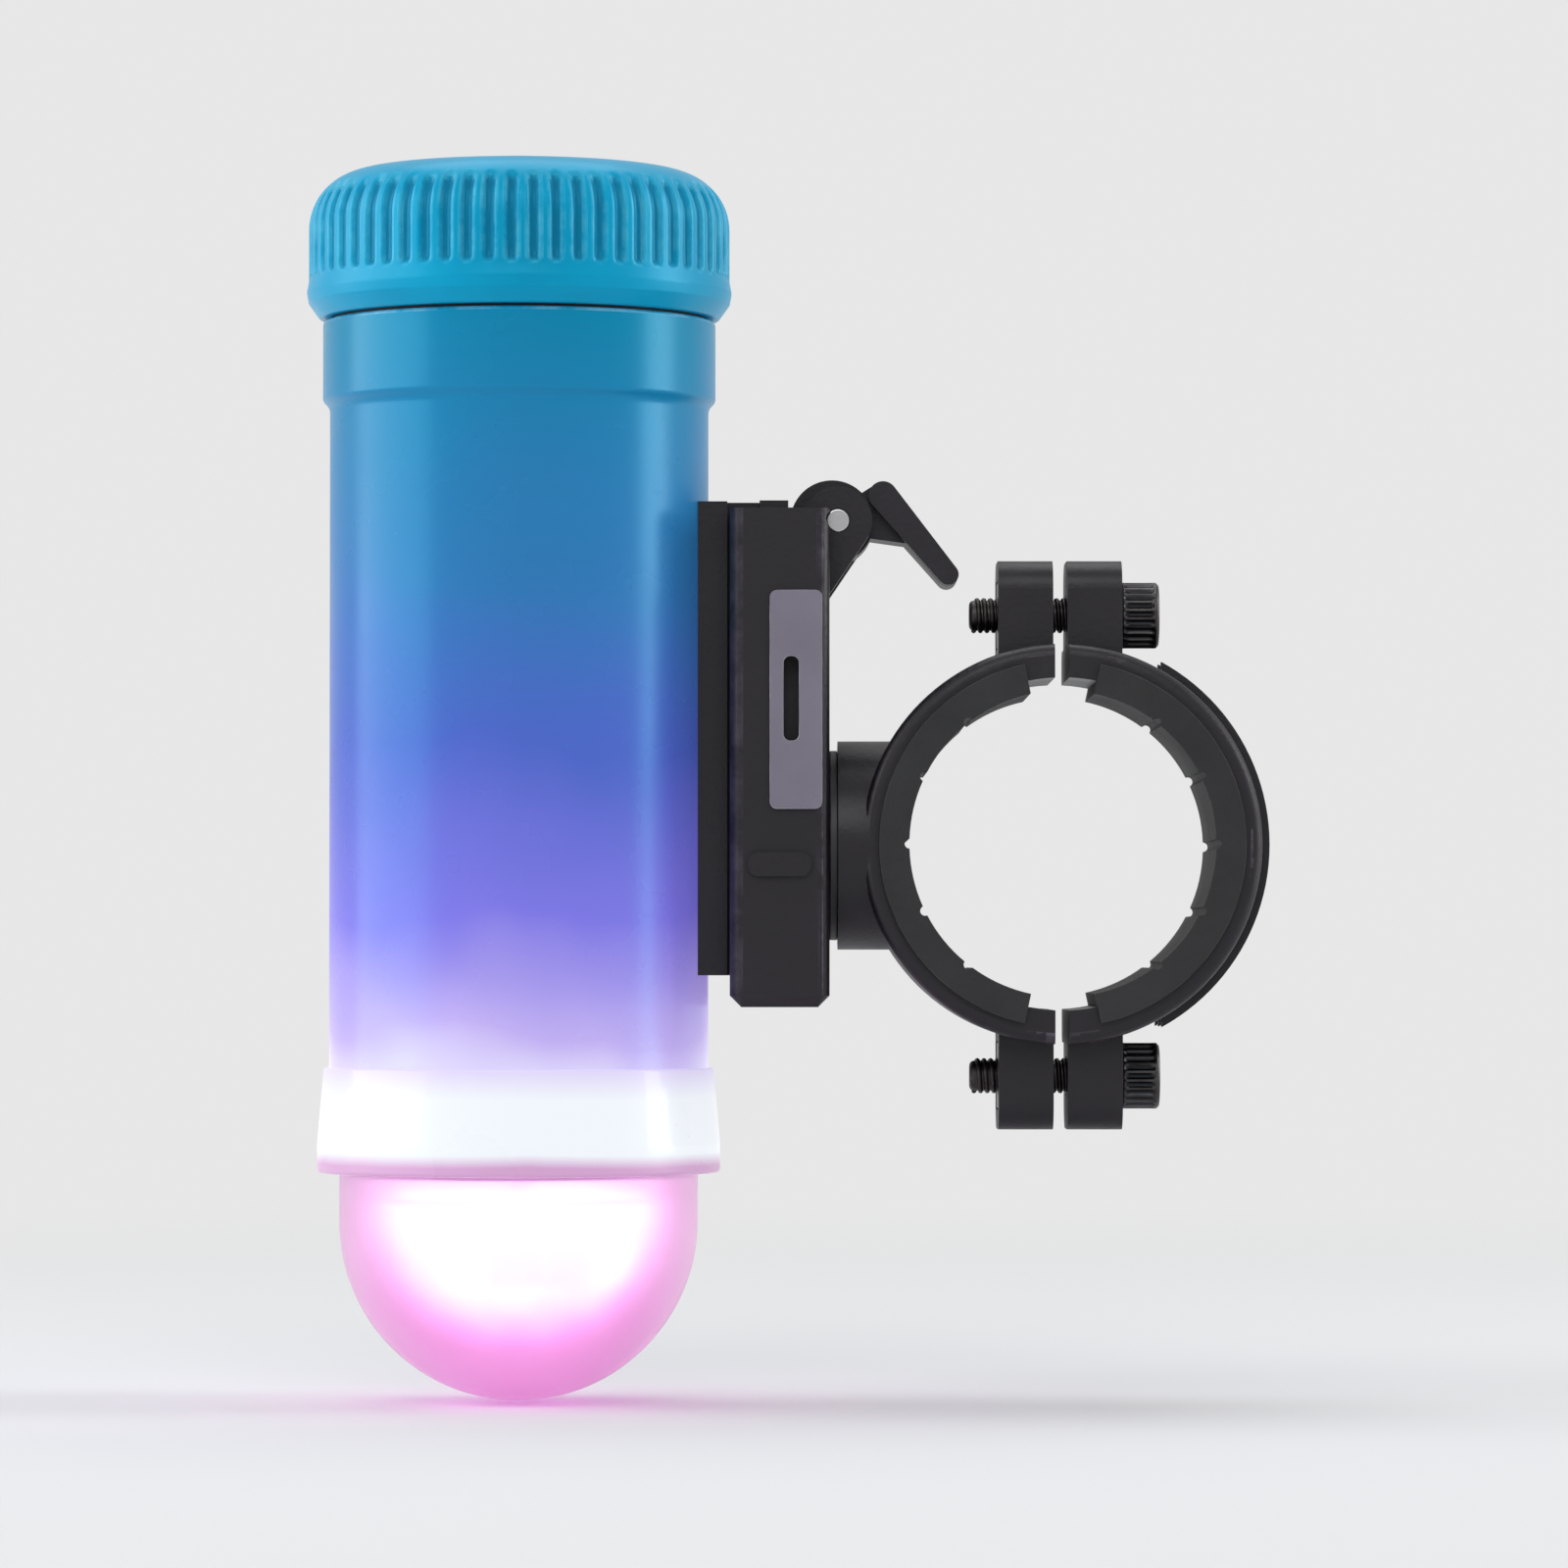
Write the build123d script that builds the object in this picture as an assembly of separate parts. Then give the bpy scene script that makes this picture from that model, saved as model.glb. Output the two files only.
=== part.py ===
from build123d import *
import os
from math import cos, pi, radians, sin, sqrt

# A tubular bike light that hangs lens down in a bracket on the handlebar.
# The origin is the middle of the handlebar in the clamp. The bar runs along Y, the light hangs
# along Z with its lens down, and the light stands in front of the bar, towards -X. Millimetres.

# Clearances
FACE_GAP = 0.05  # between flat faces that seat on each other
REST_GAP = 0.2  # between stacked pieces that rest on each other
SLIDE_GAP = 0.3  # round a piece that slides or turns in another
BEARING_GAP = 0.08  # on the radius, round a shaft or pin that turns
SCREW_GAP = 0.25  # on the radius, round a screw in a plain hole
THREAD_GAP = 0.05  # on the radius, round a screw in its nut
POCKET_GAP = 0.1  # round a nut in its pocket

# Handlebar clamp
BAR_RADIUS = 15.9
BAR_GAP = 0.05
PAD_THICKNESS = 1.35
PAD_ARC_ANGLE = 156.0
PAD_FLANGE_HEIGHT = 1.8
PAD_FLANGE_THICKNESS = 1.0
PAD_GROOVES = 5
PAD_GROOVE_RADIUS = 0.5
PAD_GROOVE_ANGLE = 26.0
CLAMP_WALL = 3.55
CLAMP_WIDTH = 22.0
CLAMP_EDGE = 1.2
CLAMP_SPLIT = 1.5
CLAMP_RIB_HEIGHT = 0.9
CLAMP_RIB_WIDTH = 2.0
CLAMP_RIB_STEP = 6.5
LUG_THICKNESS = 5.75
LUG_HALF_WIDTH = 6.0
LUG_CORNER = 3.0
LUG_SCREW_RISE = 3.4  # screw's axis above the outside of the ring
LUG_END = 5.6  # lug above the screw's axis

# Clamp screws and their nuts
SCREW_RADIUS = 1.9
SCREW_LENGTH = 16.0
SCREW_HEAD_RADIUS = 3.5
SCREW_HEAD_HEIGHT = 4.0
SCREW_SOCKET_RADIUS = 1.73
SCREW_SOCKET_DEPTH = 2.2
NUT_WIDTH = 7.0
CLAMP_NUT_THICKNESS = 2.2

# Swivel between the bracket and the clamp
BOSS_RADIUS = 11.0
BOSS_RISE = 2.45
WASHER_RADIUS = 10.0
WASHER_THICKNESS = 0.8
SWIVEL_SCREW_RADIUS = 1.95
SWIVEL_HEAD_RADIUS = 3.75
SWIVEL_HEAD_HEIGHT = 1.7
SWIVEL_SOCKET_RADIUS = 1.4
SWIVEL_SOCKET_DEPTH = 1.0
SWIVEL_NUT_THICKNESS = 3.1

# Bracket shoe and the light's rail
SHOE_BOTTOM = -17.0
SHOE_HEIGHT = 52.0
SHOE_FLOOR = 3.0
SHOE_HALF_WIDTH = 12.0
SHOE_CORNER = 1.4
SHOE_FOOT_CHAMFER = 1.2
SHOE_LIP = 2.8
SHOE_BACK_WALL = 4.0
RAIL_FLANGE_THICKNESS = 3.0
RAIL_FLANGE_HALF_WIDTH = 8.0
RAIL_NECK_HALF_WIDTH = 4.0
RAIL_FOOT_HALF_WIDTH = 6.5
RAIL_TOP_RISE = 1.0
RAIL_LEAD_IN = 1.0
BEZEL_PASSING_GAP = 0.8  # between the bezel ring and the shoe as the light slides out
RAIL_SCREW_RADIUS = 1.25
RAIL_SCREW_HEAD_RADIUS = 2.7
RAIL_SCREW_HEAD_HEIGHT = 1.8
RAIL_SCREW_SOCKET = 2.5
RAIL_SCREW_SOCKET_DEPTH = 1.2
RAIL_SCREW_DEPTH = 4.2
RAIL_SCREW_INSET = 7.0

# Side plates and the raised bar on the shoe's sides
PLATE_WIDTH = 5.5
PLATE_HEIGHT = 22.8
PLATE_THICKNESS = 1.0
PLATE_PROUD = 0.6
PLATE_CORNER = 0.8
PLATE_RISE = 20.6  # plate's foot above the shoe's
WINDOW_WIDTH = 1.6
WINDOW_HEIGHT = 8.8
WINDOW_RISE = 7.1  # window's foot above the plate's
PLATE_SET_BACK = 3.5  # plate's middle in front of the shoe's back
WINDOW_SHIFT = 0.5  # window's middle in front of the plate's
WINDOW_DEPTH = 2.0  # pocket in the shoe's wall behind the window
SIDE_BAR_HEIGHT = 2.5
SIDE_BAR_RISE = 13.6
SIDE_BAR_PROUD = 0.7
SIDE_BAR_INSET = 1.2

# Cam lever that grips the rail
CAM_RADIUS = 4.4
CAM_OFFSET = 0.6
CAM_GAP = 0.2
PIN_RADIUS = 1.25
PIN_FIT = 0.02
PIN_DROP = 1.0  # pin's axis below the shoe's top
LEVER_HALF_WIDTH = 3.5
EAR_THICKNESS = 2.7
EAR_RADIUS = 3.6
EAR_FOOT = 11.0
EAR_ROOT = 1.0
HANDLE_HALF_WIDTH = 5.2
HANDLE_TOP = (4.75, 2.7)  # thumb plate's ends, from the pin
HANDLE_TOP_RADIUS = 1.5
HANDLE_TIP = (11.6, -5.6)
HANDLE_TIP_RADIUS = 1.1
HANDLE_WEB = (8.2, -1.5)  # where the web from the cam meets the thumb plate
HANDLE_WEB_RADIUS = 0.9

# Battery cells and their carrier
CELL_RADIUS = 5.25
CELL_LENGTH = 44.5
CELL_NUB_RADIUS = 1.9
CELL_NUB_HEIGHT = 1.0
CELL_EDGE = 0.5
CELL_GAP = 0.72  # half the gap between two cells
CELL_BED_GAP = 0.2
CELL_ROOM = 3.5  # carrier's length inside, more than a cell
CARRIER_RIM = 0.85
CARRIER_DISC = 2.0
CARRIER_SPINE_RADIUS = 3.0
CARRIER_RIB = 0.9
CONTACT_THICKNESS = 0.4
CONTACT_PAD_RADIUS = 2.2
CONTACT_STRIP_HALF_WIDTH = 1.0
CONTACT_POST_RADIUS = 0.8
TERMINAL_RADIUS = 4.0
SPRING_WIDE_RADIUS = 3.6
SPRING_NARROW_RADIUS = 2.2
SPRING_WIRE = 0.6

# Battery sleeve and current strip
SLEEVE_GAP = 0.3
SLEEVE_WALL = 1.1
SLEEVE_FLANGE = 1.8
SLEEVE_FLANGE_HEIGHT = 1.2
STRIP_WIDTH = 4.0
STRIP_THICKNESS = 0.4

# Tube
TUBE_END = -31.4  # tube's lens end, from the handlebar's axis
TUBE_WALL = 2.2
TUBE_EDGE = 0.4
NECK_WALL = 1.9
NECK_LENGTH = 11.8
NECK_FOOT = 2.5
COLLAR_HEIGHT = 8.4
COLLAR_LEDGE = 2.45
COLLAR_STEP = 0.75
LEDGE_HEIGHT = 1.5
LEDGE_GAP = 0.5  # between the driver board's edge and the ledge round it

# Screw cap
THREAD_ROOM = 0.9
CAP_WALL = 3.05
CAP_LIP_TAPER = 1.15
CAP_LIP_HEIGHT = 1.6
CAP_BEAD_HEIGHT = 2.3
CAP_BEAD_PROUD = 0.25
CAP_CROWN = 1.1
CAP_CROWN_EDGE = 6.2
CAP_CORNER = 2.0  # the inside corner, cut back to leave room for the neck and a full wall
CAP_TOP_WALL = 1.7
CAP_NECK_GAP = 2.4
CAP_SEAL_THICKNESS = 1.6
CAP_SEAL_RIM = 0.6  # seal's part outside the cap's thread
CAP_SEAL_GAP = 0.1
FLUTES = 60
FLUTE_RADIUS = 0.62
FLUTE_SHIFT = 0.1

# Push switch in the cap
KEY_RADIUS = 7.0
KEY_FLANGE = 1.6
KEY_FLANGE_THICKNESS = 0.9
KEY_GAP = 0.2
KEY_EDGE = 0.6
KEY_PROUD = 0.3
KEY_RECESS_RADIUS = 5.2
KEY_TRAVEL = 0.8
KEY_REST_GAP = 0.25
PLUNGER_RADIUS = 1.75
PLUNGER_RISE = 1.0
PLUNGER_DEPTH = 1.6
SWITCH_WIDTH = 6.2
SWITCH_HEIGHT = 3.6
SWITCH_BORE_DEPTH = 2.8
SWITCH_BOARD_GAP = 0.8  # round the board, which turns with the cap inside the neck
SWITCH_POST_WALL = 2.2
SWITCH_POST_CLEAR = 1.4
SWITCH_SCREWS = 3
SWITCH_SCREW_ANGLE = 30.0
CONTACT_RING_WIDTH = 2.0
CONTACT_RING_THICKNESS = 0.35
CAP_SPRING_HEIGHT = 2.6
SMALL_SCREW_RADIUS = 0.8
SMALL_HEAD_RADIUS = 1.35
SMALL_HEAD_HEIGHT = 1.0
SMALL_SCREW_DEPTH = 3.6

# Driver board
BOARD_THICKNESS = 1.6
BOARD_SPRING_HEIGHT = 3.35
CHIP_SIZE = 5.0
CHIP_HEIGHT = 1.4
CHIP_RADIUS = 8.6

# Motor and its chassis
MOTOR_RADIUS = 7.75
MOTOR_LENGTH = 20.0
MOTOR_EDGE = 0.8
MOTOR_BOSS_RADIUS = 3.0
MOTOR_BOSS_HEIGHT = 1.4
ENDBELL_HEIGHT = 2.2
ENDBELL_RADIUS = 7.2
TERMINAL_WIDTH = 2.0
TERMINAL_HEIGHT = 3.0
TERMINAL_SPREAD = 4.6
WIRE_ROOM = 6.8  # between the motor and the chassis's top disc
SHAFT_RADIUS = 1.0
SHAFT_OUTSIDE = 14.0
SHAFT_INSIDE = 15.0
CHASSIS_DISC = 2.0
CHASSIS_WALL = 1.55
CHASSIS_RIB = 1.6
CHASSIS_RIBS = 3
CHASSIS_RIB_ANGLE = 60.0  # first rib, round from the rail's side

# Lamp board
LED_BOARD_RADIUS = 17.5
LED_BOARD_BORE = 3.6
LEDS = 6
LED_ANGLE = 30.0
LED_WIDTH = 5.0
LED_HEIGHT = 1.6
LED_CIRCLE = 12.0
LED_LENS_RADIUS = 1.9
LED_LENS_DEPTH = 0.3
LED_SCREWS = 3
LED_SCREW_CIRCLE = 7.2
REFLECTOR_HEIGHT = 2.8
REFLECTOR_TOP_WALL = 1.6
REFLECTOR_LOW_WALL = 0.6

# Dome lens, its seal and the bezel ring
LENS_SEAL_THICKNESS = 0.8
DOME_WALL = 1.8
DOME_FLANGE_THICKNESS = 1.2
DOME_SKIRT = 6.1  # straight side below the flange
DOME_SHOULDER = 1.05  # flange's ledge round the dome's side
BEZEL_GLUE = 0.1
BEZEL_WALL = 1.15
BEZEL_OVERLAP = 8.0
BEZEL_RIM = 0.45  # ring's wall at its upper edge
BEZEL_LIP = 0.9
BEZEL_EDGE = 0.4

# Spinning pattern lens
PATTERN_RADIUS = 15.0
PATTERN_DROP = 2.1  # its rim below the lamp board's reflector, to the facets' centre
PATTERN_FACETS = 14
PATTERN_RINGS = 5
PATTERN_STEP_ANGLE = 18.0
PATTERN_WALL = 1.5
STEM_RADIUS = 2.2
STEM_FIT = 0.02
STEM_GRIP = 5.5

# Places across the clamp, outwards from the bar
PAD_BORE = BAR_RADIUS + BAR_GAP
PAD_OUTER = PAD_BORE + PAD_THICKNESS
CLAMP_BORE = PAD_OUTER + FACE_GAP
CLAMP_OUTER = CLAMP_BORE + CLAMP_WALL
LUG_FACE = CLAMP_SPLIT / 2
LUG_BACK = LUG_FACE + LUG_THICKNESS
SCREW_Z = CLAMP_OUTER + LUG_SCREW_RISE
LUG_TOP = SCREW_Z + LUG_END
NUT_SEAT = LUG_BACK - CLAMP_NUT_THICKNESS - POCKET_GAP

# Places from the clamp to the light, along -X
BOSS_X = -(CLAMP_OUTER + BOSS_RISE)
WASHER_X = BOSS_X - FACE_GAP
SHOE_BACK_X = WASHER_X - WASHER_THICKNESS - FACE_GAP
CHANNEL_BACK_X = SHOE_BACK_X - SHOE_BACK_WALL
FLANGE_BACK_X = CHANNEL_BACK_X - SLIDE_GAP
FLANGE_FRONT_X = FLANGE_BACK_X - RAIL_FLANGE_THICKNESS
CHANNEL_FRONT_X = FLANGE_FRONT_X - SLIDE_GAP
SHOE_FRONT_X = CHANNEL_FRONT_X - SHOE_LIP
FOOT_X = SHOE_FRONT_X - SLIDE_GAP
HEAD_SEAT_X = CHANNEL_BACK_X + SWIVEL_HEAD_HEIGHT + REST_GAP

# Radii in the light, outwards from its axis
CELL_CIRCLE = (CELL_RADIUS + CELL_GAP) * 2 / sqrt(3)
CARRIER_RADIUS = CELL_CIRCLE + CELL_RADIUS + CARRIER_RIM
SLEEVE_BORE = CARRIER_RADIUS + SLEEVE_GAP
SLEEVE_RADIUS = SLEEVE_BORE + SLEEVE_WALL
SLEEVE_FLANGE_RADIUS = SLEEVE_RADIUS + SLEEVE_FLANGE
NECK_BORE = SLEEVE_FLANGE_RADIUS + REST_GAP
NECK_RADIUS = NECK_BORE + NECK_WALL
CAP_BORE = NECK_RADIUS + THREAD_ROOM
CAP_RADIUS = CAP_BORE + CAP_WALL
CAP_SEAL_RADIUS = CAP_BORE + CAP_SEAL_RIM
CAP_SEAT_RADIUS = CAP_SEAL_RADIUS + CAP_SEAL_GAP
COLLAR_RADIUS = NECK_RADIUS + COLLAR_LEDGE
TUBE_RADIUS = COLLAR_RADIUS - COLLAR_STEP
TUBE_BORE = TUBE_RADIUS - TUBE_WALL
DOME_RADIUS = TUBE_RADIUS - FACE_GAP - DOME_SHOULDER
BEZEL_BORE = TUBE_RADIUS + BEZEL_GLUE
BEZEL_RADIUS = BEZEL_BORE + BEZEL_WALL
DRIVER_RADIUS = NECK_BORE - LEDGE_GAP - SLEEVE_GAP
LEDGE_BORE = DRIVER_RADIUS + LEDGE_GAP
CHASSIS_RADIUS = TUBE_BORE - REST_GAP
SWITCH_BOARD_RADIUS = NECK_BORE - SWITCH_BOARD_GAP
KEY_FLANGE_RADIUS = KEY_RADIUS + KEY_FLANGE
POST_BORE = KEY_FLANGE_RADIUS + SWITCH_POST_CLEAR
POST_RADIUS = POST_BORE + SWITCH_POST_WALL
SWITCH_SCREW_CIRCLE = (POST_BORE + POST_RADIUS) / 2
RAIL_FOOT_DEPTH = BEZEL_RADIUS - TUBE_RADIUS + BEZEL_PASSING_GAP
LIGHT_X = FOOT_X - RAIL_FOOT_DEPTH - TUBE_RADIUS

# Heights in the light, from the tube's lens end down
SEAL_LOW = TUBE_END - FACE_GAP - LENS_SEAL_THICKNESS
DOME_TOP = SEAL_LOW - FACE_GAP
DOME_FLANGE_LOW = DOME_TOP - DOME_FLANGE_THICKNESS
DOME_CENTRE = DOME_FLANGE_LOW - DOME_SKIRT
BEZEL_LIP_TOP = DOME_FLANGE_LOW - FACE_GAP
BEZEL_LOW = BEZEL_LIP_TOP - BEZEL_LIP
BEZEL_TOP = TUBE_END + BEZEL_OVERLAP

# Heights in the light, from the dome's rim up to the cap
LED_BOARD_LOW = DOME_TOP + REST_GAP
LED_BOARD_TOP = LED_BOARD_LOW + BOARD_THICKNESS
CHASSIS_LOW = LED_BOARD_TOP + FACE_GAP
MOTOR_LOW = CHASSIS_LOW + CHASSIS_DISC + REST_GAP
MOTOR_TOP = MOTOR_LOW + MOTOR_LENGTH
ENDBELL_TOP = MOTOR_TOP + ENDBELL_HEIGHT
SHAFT_END = MOTOR_LOW - SHAFT_OUTSIDE
CHASSIS_DISC_LOW = ENDBELL_TOP + WIRE_ROOM
CHASSIS_TOP = CHASSIS_DISC_LOW + CHASSIS_DISC
LEDGE_LOW = CHASSIS_TOP + SLIDE_GAP
DRIVER_LOW = CHASSIS_TOP + FACE_GAP
DRIVER_TOP = DRIVER_LOW + BOARD_THICKNESS
SLEEVE_LOW = DRIVER_TOP + FACE_GAP
CARRIER_LOW = DRIVER_TOP + BOARD_SPRING_HEIGHT + CONTACT_THICKNESS
CARRIER_FLOOR = CARRIER_LOW + CARRIER_DISC
CARRIER_CEILING = CARRIER_FLOOR + CELL_LENGTH + CELL_ROOM
CARRIER_TOP = CARRIER_CEILING + CARRIER_DISC
SWITCH_BOARD_LOW = CARRIER_TOP + CONTACT_THICKNESS + CAP_SPRING_HEIGHT
SWITCH_BOARD_TOP = SWITCH_BOARD_LOW + BOARD_THICKNESS
RING_LOW = SWITCH_BOARD_LOW - CONTACT_RING_THICKNESS
STRIP_TOP = RING_LOW - FACE_GAP
SLEEVE_TOP = STRIP_TOP - STRIP_THICKNESS
SWITCH_TOP = SWITCH_BOARD_TOP + SWITCH_HEIGHT
PLUNGER_TOP = SWITCH_TOP + PLUNGER_RISE
KEY_FLANGE_LOW = SWITCH_TOP
KEY_FLANGE_TOP = KEY_FLANGE_LOW + KEY_FLANGE_THICKNESS
CAP_CEILING = KEY_FLANGE_TOP + KEY_REST_GAP
CAP_SHOULDER = CAP_CEILING + CAP_TOP_WALL
CAP_TOP = CAP_SHOULDER + CAP_CROWN
NECK_TOP = CAP_CEILING - CAP_NECK_GAP
COLLAR_TOP = NECK_TOP - NECK_LENGTH
COLLAR_LOW = COLLAR_TOP - COLLAR_HEIGHT
CAP_LOW = COLLAR_TOP + SLIDE_GAP
CAP_SEAT = COLLAR_TOP + CAP_SEAL_THICKNESS + 2 * FACE_GAP
BEAD_LOW = CAP_LOW + CAP_LIP_HEIGHT
BEAD_TOP = BEAD_LOW + CAP_BEAD_HEIGHT

# Heights on the bracket
SHOE_TOP = SHOE_BOTTOM + SHOE_HEIGHT
CHANNEL_LOW = SHOE_BOTTOM + SHOE_FLOOR
RAIL_LOW = CHANNEL_LOW + SLIDE_GAP
RAIL_TOP = SHOE_TOP + RAIL_TOP_RISE
RAIL_SCREW_HEIGHTS = (RAIL_LOW + RAIL_SCREW_INSET, RAIL_TOP - RAIL_SCREW_INSET)
PIN_X = FLANGE_BACK_X + CAM_GAP + CAM_RADIUS + CAM_OFFSET
PIN_Z = SHOE_TOP - PIN_DROP
EAR_INNER = LEVER_HALF_WIDTH + SLIDE_GAP
EAR_OUTER = EAR_INNER + EAR_THICKNESS
PLATE_LOW = SHOE_BOTTOM + PLATE_RISE
WINDOW_LOW = PLATE_LOW + WINDOW_RISE
PLATE_X = SHOE_BACK_X - PLATE_SET_BACK
WINDOW_X = PLATE_X - WINDOW_SHIFT

LIGHT_AXIS = Pos(LIGHT_X, 0, 0)
ALONG_X = Rot(0, 90, 0)
ALONG_Y = Rot(-90, 0, 0)
HALF_TURN = 180.0
CELL_ANGLES = (0.0, 120.0, 240.0)
ARM_ANGLES = (60.0, 180.0, 300.0)


def turned(*corners):
    """Revolve an outline about Z. A corner is (radius, height) or (radius, height, rounding)."""
    points = [Vector(corner[0], 0, corner[1]) for corner in corners]
    roundings = [corner[2] if len(corner) > 2 else 0.0 for corner in corners]
    if any(roundings):
        outline = FilletPolyline(*points, radius=roundings, close=True)
    else:
        outline = Polyline(*points, close=True)
    return revolve(make_face(outline), Axis.Z)


def ring(outer, inner, low, high):
    """A plain ring about Z."""
    return turned((inner, low), (outer, low), (outer, high), (inner, high))


def disc(radius, low, high):
    """A plain disc about Z."""
    return turned((0, low), (radius, low), (radius, high), (0, high))


def block(x, y, z):
    """A box between three pairs of limits."""
    middle = [(low + high) / 2 for low, high in (x, y, z)]
    size = [high - low for low, high in (x, y, z)]
    return Pos(*middle) * Box(*size)


def hexagon(width, low, high):
    """A hexagonal bar about Z, by its width across flats."""
    section = RegularPolygon(width / sqrt(3), 6)
    return extrude(Pos(0, 0, low) * section, high - low)


def around(piece, radius, angles):
    """Copies of a piece at a radius from Z, at the given angles."""
    return [Rot(0, 0, angle) * Pos(radius, 0, 0) * piece for angle in angles]


def even(count, start=0.0):
    """Evenly spaced angles round a circle."""
    return [start + 360.0 * k / count for k in range(count)]


def cell_places(piece):
    """One copy of a piece on the axis of each cell."""
    return around(piece, CELL_CIRCLE, CELL_ANGLES)


def small_screw(seat, down):
    """A small pan-head screw on Z, seated at a height, its shank going down or up."""
    way = -1 if down else 1
    head = sorted((seat, seat - way * SMALL_HEAD_HEIGHT))
    shank = sorted((seat, seat + way * SMALL_SCREW_DEPTH))
    return disc(SMALL_HEAD_RADIUS, *head) + disc(SMALL_SCREW_RADIUS, *shank)


def body_tube():
    """The tube: lens end, ledge inside, collar and threaded neck."""
    tube = turned(
        (TUBE_BORE, TUBE_END),
        (TUBE_RADIUS, TUBE_END),
        (TUBE_RADIUS, COLLAR_LOW - COLLAR_STEP),
        (COLLAR_RADIUS, COLLAR_LOW),
        (COLLAR_RADIUS, COLLAR_TOP, TUBE_EDGE),
        (NECK_RADIUS, COLLAR_TOP),
        (NECK_RADIUS, NECK_TOP, TUBE_EDGE),
        (NECK_BORE, NECK_TOP),
        (NECK_BORE, COLLAR_TOP - NECK_FOOT),
        (TUBE_BORE, COLLAR_TOP - 2 * NECK_FOOT),
        (TUBE_BORE, LEDGE_LOW + LEDGE_HEIGHT),
        (LEDGE_BORE, LEDGE_LOW + LEDGE_HEIGHT),
        (LEDGE_BORE, LEDGE_LOW),
        (TUBE_BORE, LEDGE_LOW),
    )
    hole = ALONG_X * disc(RAIL_SCREW_RADIUS + SCREW_GAP, LEDGE_BORE, TUBE_RADIUS + TUBE_WALL)
    tube -= [Pos(0, 0, z) * hole for z in RAIL_SCREW_HEIGHTS]
    return LIGHT_AXIS * tube


def tube_rail():
    """The T-shaped rail on the tube's back, with its foot hollowed to fit the tube."""
    height = (RAIL_LOW, RAIL_TOP)
    foot_front = LIGHT_X + TUBE_RADIUS - TUBE_WALL
    rail = block((foot_front, FOOT_X), (-RAIL_FOOT_HALF_WIDTH, RAIL_FOOT_HALF_WIDTH), height)
    rail += block((FOOT_X, FLANGE_FRONT_X), (-RAIL_NECK_HALF_WIDTH, RAIL_NECK_HALF_WIDTH), height)
    flange = block(
        (FLANGE_FRONT_X, FLANGE_BACK_X), (-RAIL_FLANGE_HALF_WIDTH, RAIL_FLANGE_HALF_WIDTH), height
    )
    rail += chamfer(flange.edges().filter_by(Axis.X).group_by(Axis.Z)[0], RAIL_LEAD_IN)
    rail -= LIGHT_AXIS * disc(TUBE_RADIUS + FACE_GAP, RAIL_LOW - 1, RAIL_TOP + 1)
    hole = ALONG_X * disc(RAIL_SCREW_RADIUS + THREAD_GAP, 0, TUBE_RADIUS + RAIL_SCREW_DEPTH)
    return rail - [Pos(LIGHT_X, 0, z) * hole for z in RAIL_SCREW_HEIGHTS]


def rail_screws():
    """The screws that hold the rail, from inside the tube."""
    seat = sqrt(TUBE_BORE**2 - RAIL_SCREW_HEAD_RADIUS**2) - FACE_GAP
    face = seat - RAIL_SCREW_HEAD_HEIGHT
    screw = disc(RAIL_SCREW_HEAD_RADIUS, face, seat)
    screw += disc(RAIL_SCREW_RADIUS, seat, TUBE_RADIUS + RAIL_SCREW_DEPTH - REST_GAP)
    screw -= hexagon(RAIL_SCREW_SOCKET, face - 1, face + RAIL_SCREW_SOCKET_DEPTH)
    return [LIGHT_AXIS * Pos(0, 0, z) * ALONG_X * screw for z in RAIL_SCREW_HEIGHTS]


def bezel_ring():
    """The flared ring glued round the tube's end, whose lip holds the dome."""
    lip_bore = DOME_RADIUS + REST_GAP
    return LIGHT_AXIS * turned(
        (BEZEL_BORE, BEZEL_TOP),
        (BEZEL_BORE + BEZEL_RIM, BEZEL_TOP),
        (BEZEL_RADIUS, TUBE_END),
        (BEZEL_RADIUS, BEZEL_LOW, BEZEL_EDGE),
        (lip_bore, BEZEL_LOW),
        (lip_bore, BEZEL_LIP_TOP),
        (BEZEL_BORE, BEZEL_LIP_TOP),
    )


def lens_seal():
    """The flat ring between the tube's end and the dome's flange."""
    return LIGHT_AXIS * ring(TUBE_RADIUS - FACE_GAP, TUBE_BORE + FACE_GAP, SEAL_LOW, TUBE_END - FACE_GAP)


def half_round(radius, centre):
    """The arc of a round end below a centre height, from the side to the axis."""
    slant = sin(radians(45))
    return ThreePointArc(
        (radius, 0, centre), (radius * slant, 0, centre - radius * slant), (0, 0, centre - radius)
    )


def dome_lens():
    """The clear dome: flange, short straight side and round end, as one thin wall."""
    inner = DOME_RADIUS - DOME_WALL
    rim = TUBE_RADIUS - FACE_GAP
    side = Polyline(
        (inner, 0, DOME_CENTRE),
        (inner, 0, DOME_TOP),
        (rim, 0, DOME_TOP),
        (rim, 0, DOME_FLANGE_LOW),
        (DOME_RADIUS, 0, DOME_FLANGE_LOW),
        (DOME_RADIUS, 0, DOME_CENTRE),
    )
    end = Line((0, 0, DOME_CENTRE - DOME_RADIUS), (0, 0, DOME_CENTRE - inner))
    outline = side + half_round(DOME_RADIUS, DOME_CENTRE) + end + half_round(inner, DOME_CENTRE)
    return LIGHT_AXIS * revolve(make_face(outline.edges()), Axis.Z)


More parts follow.
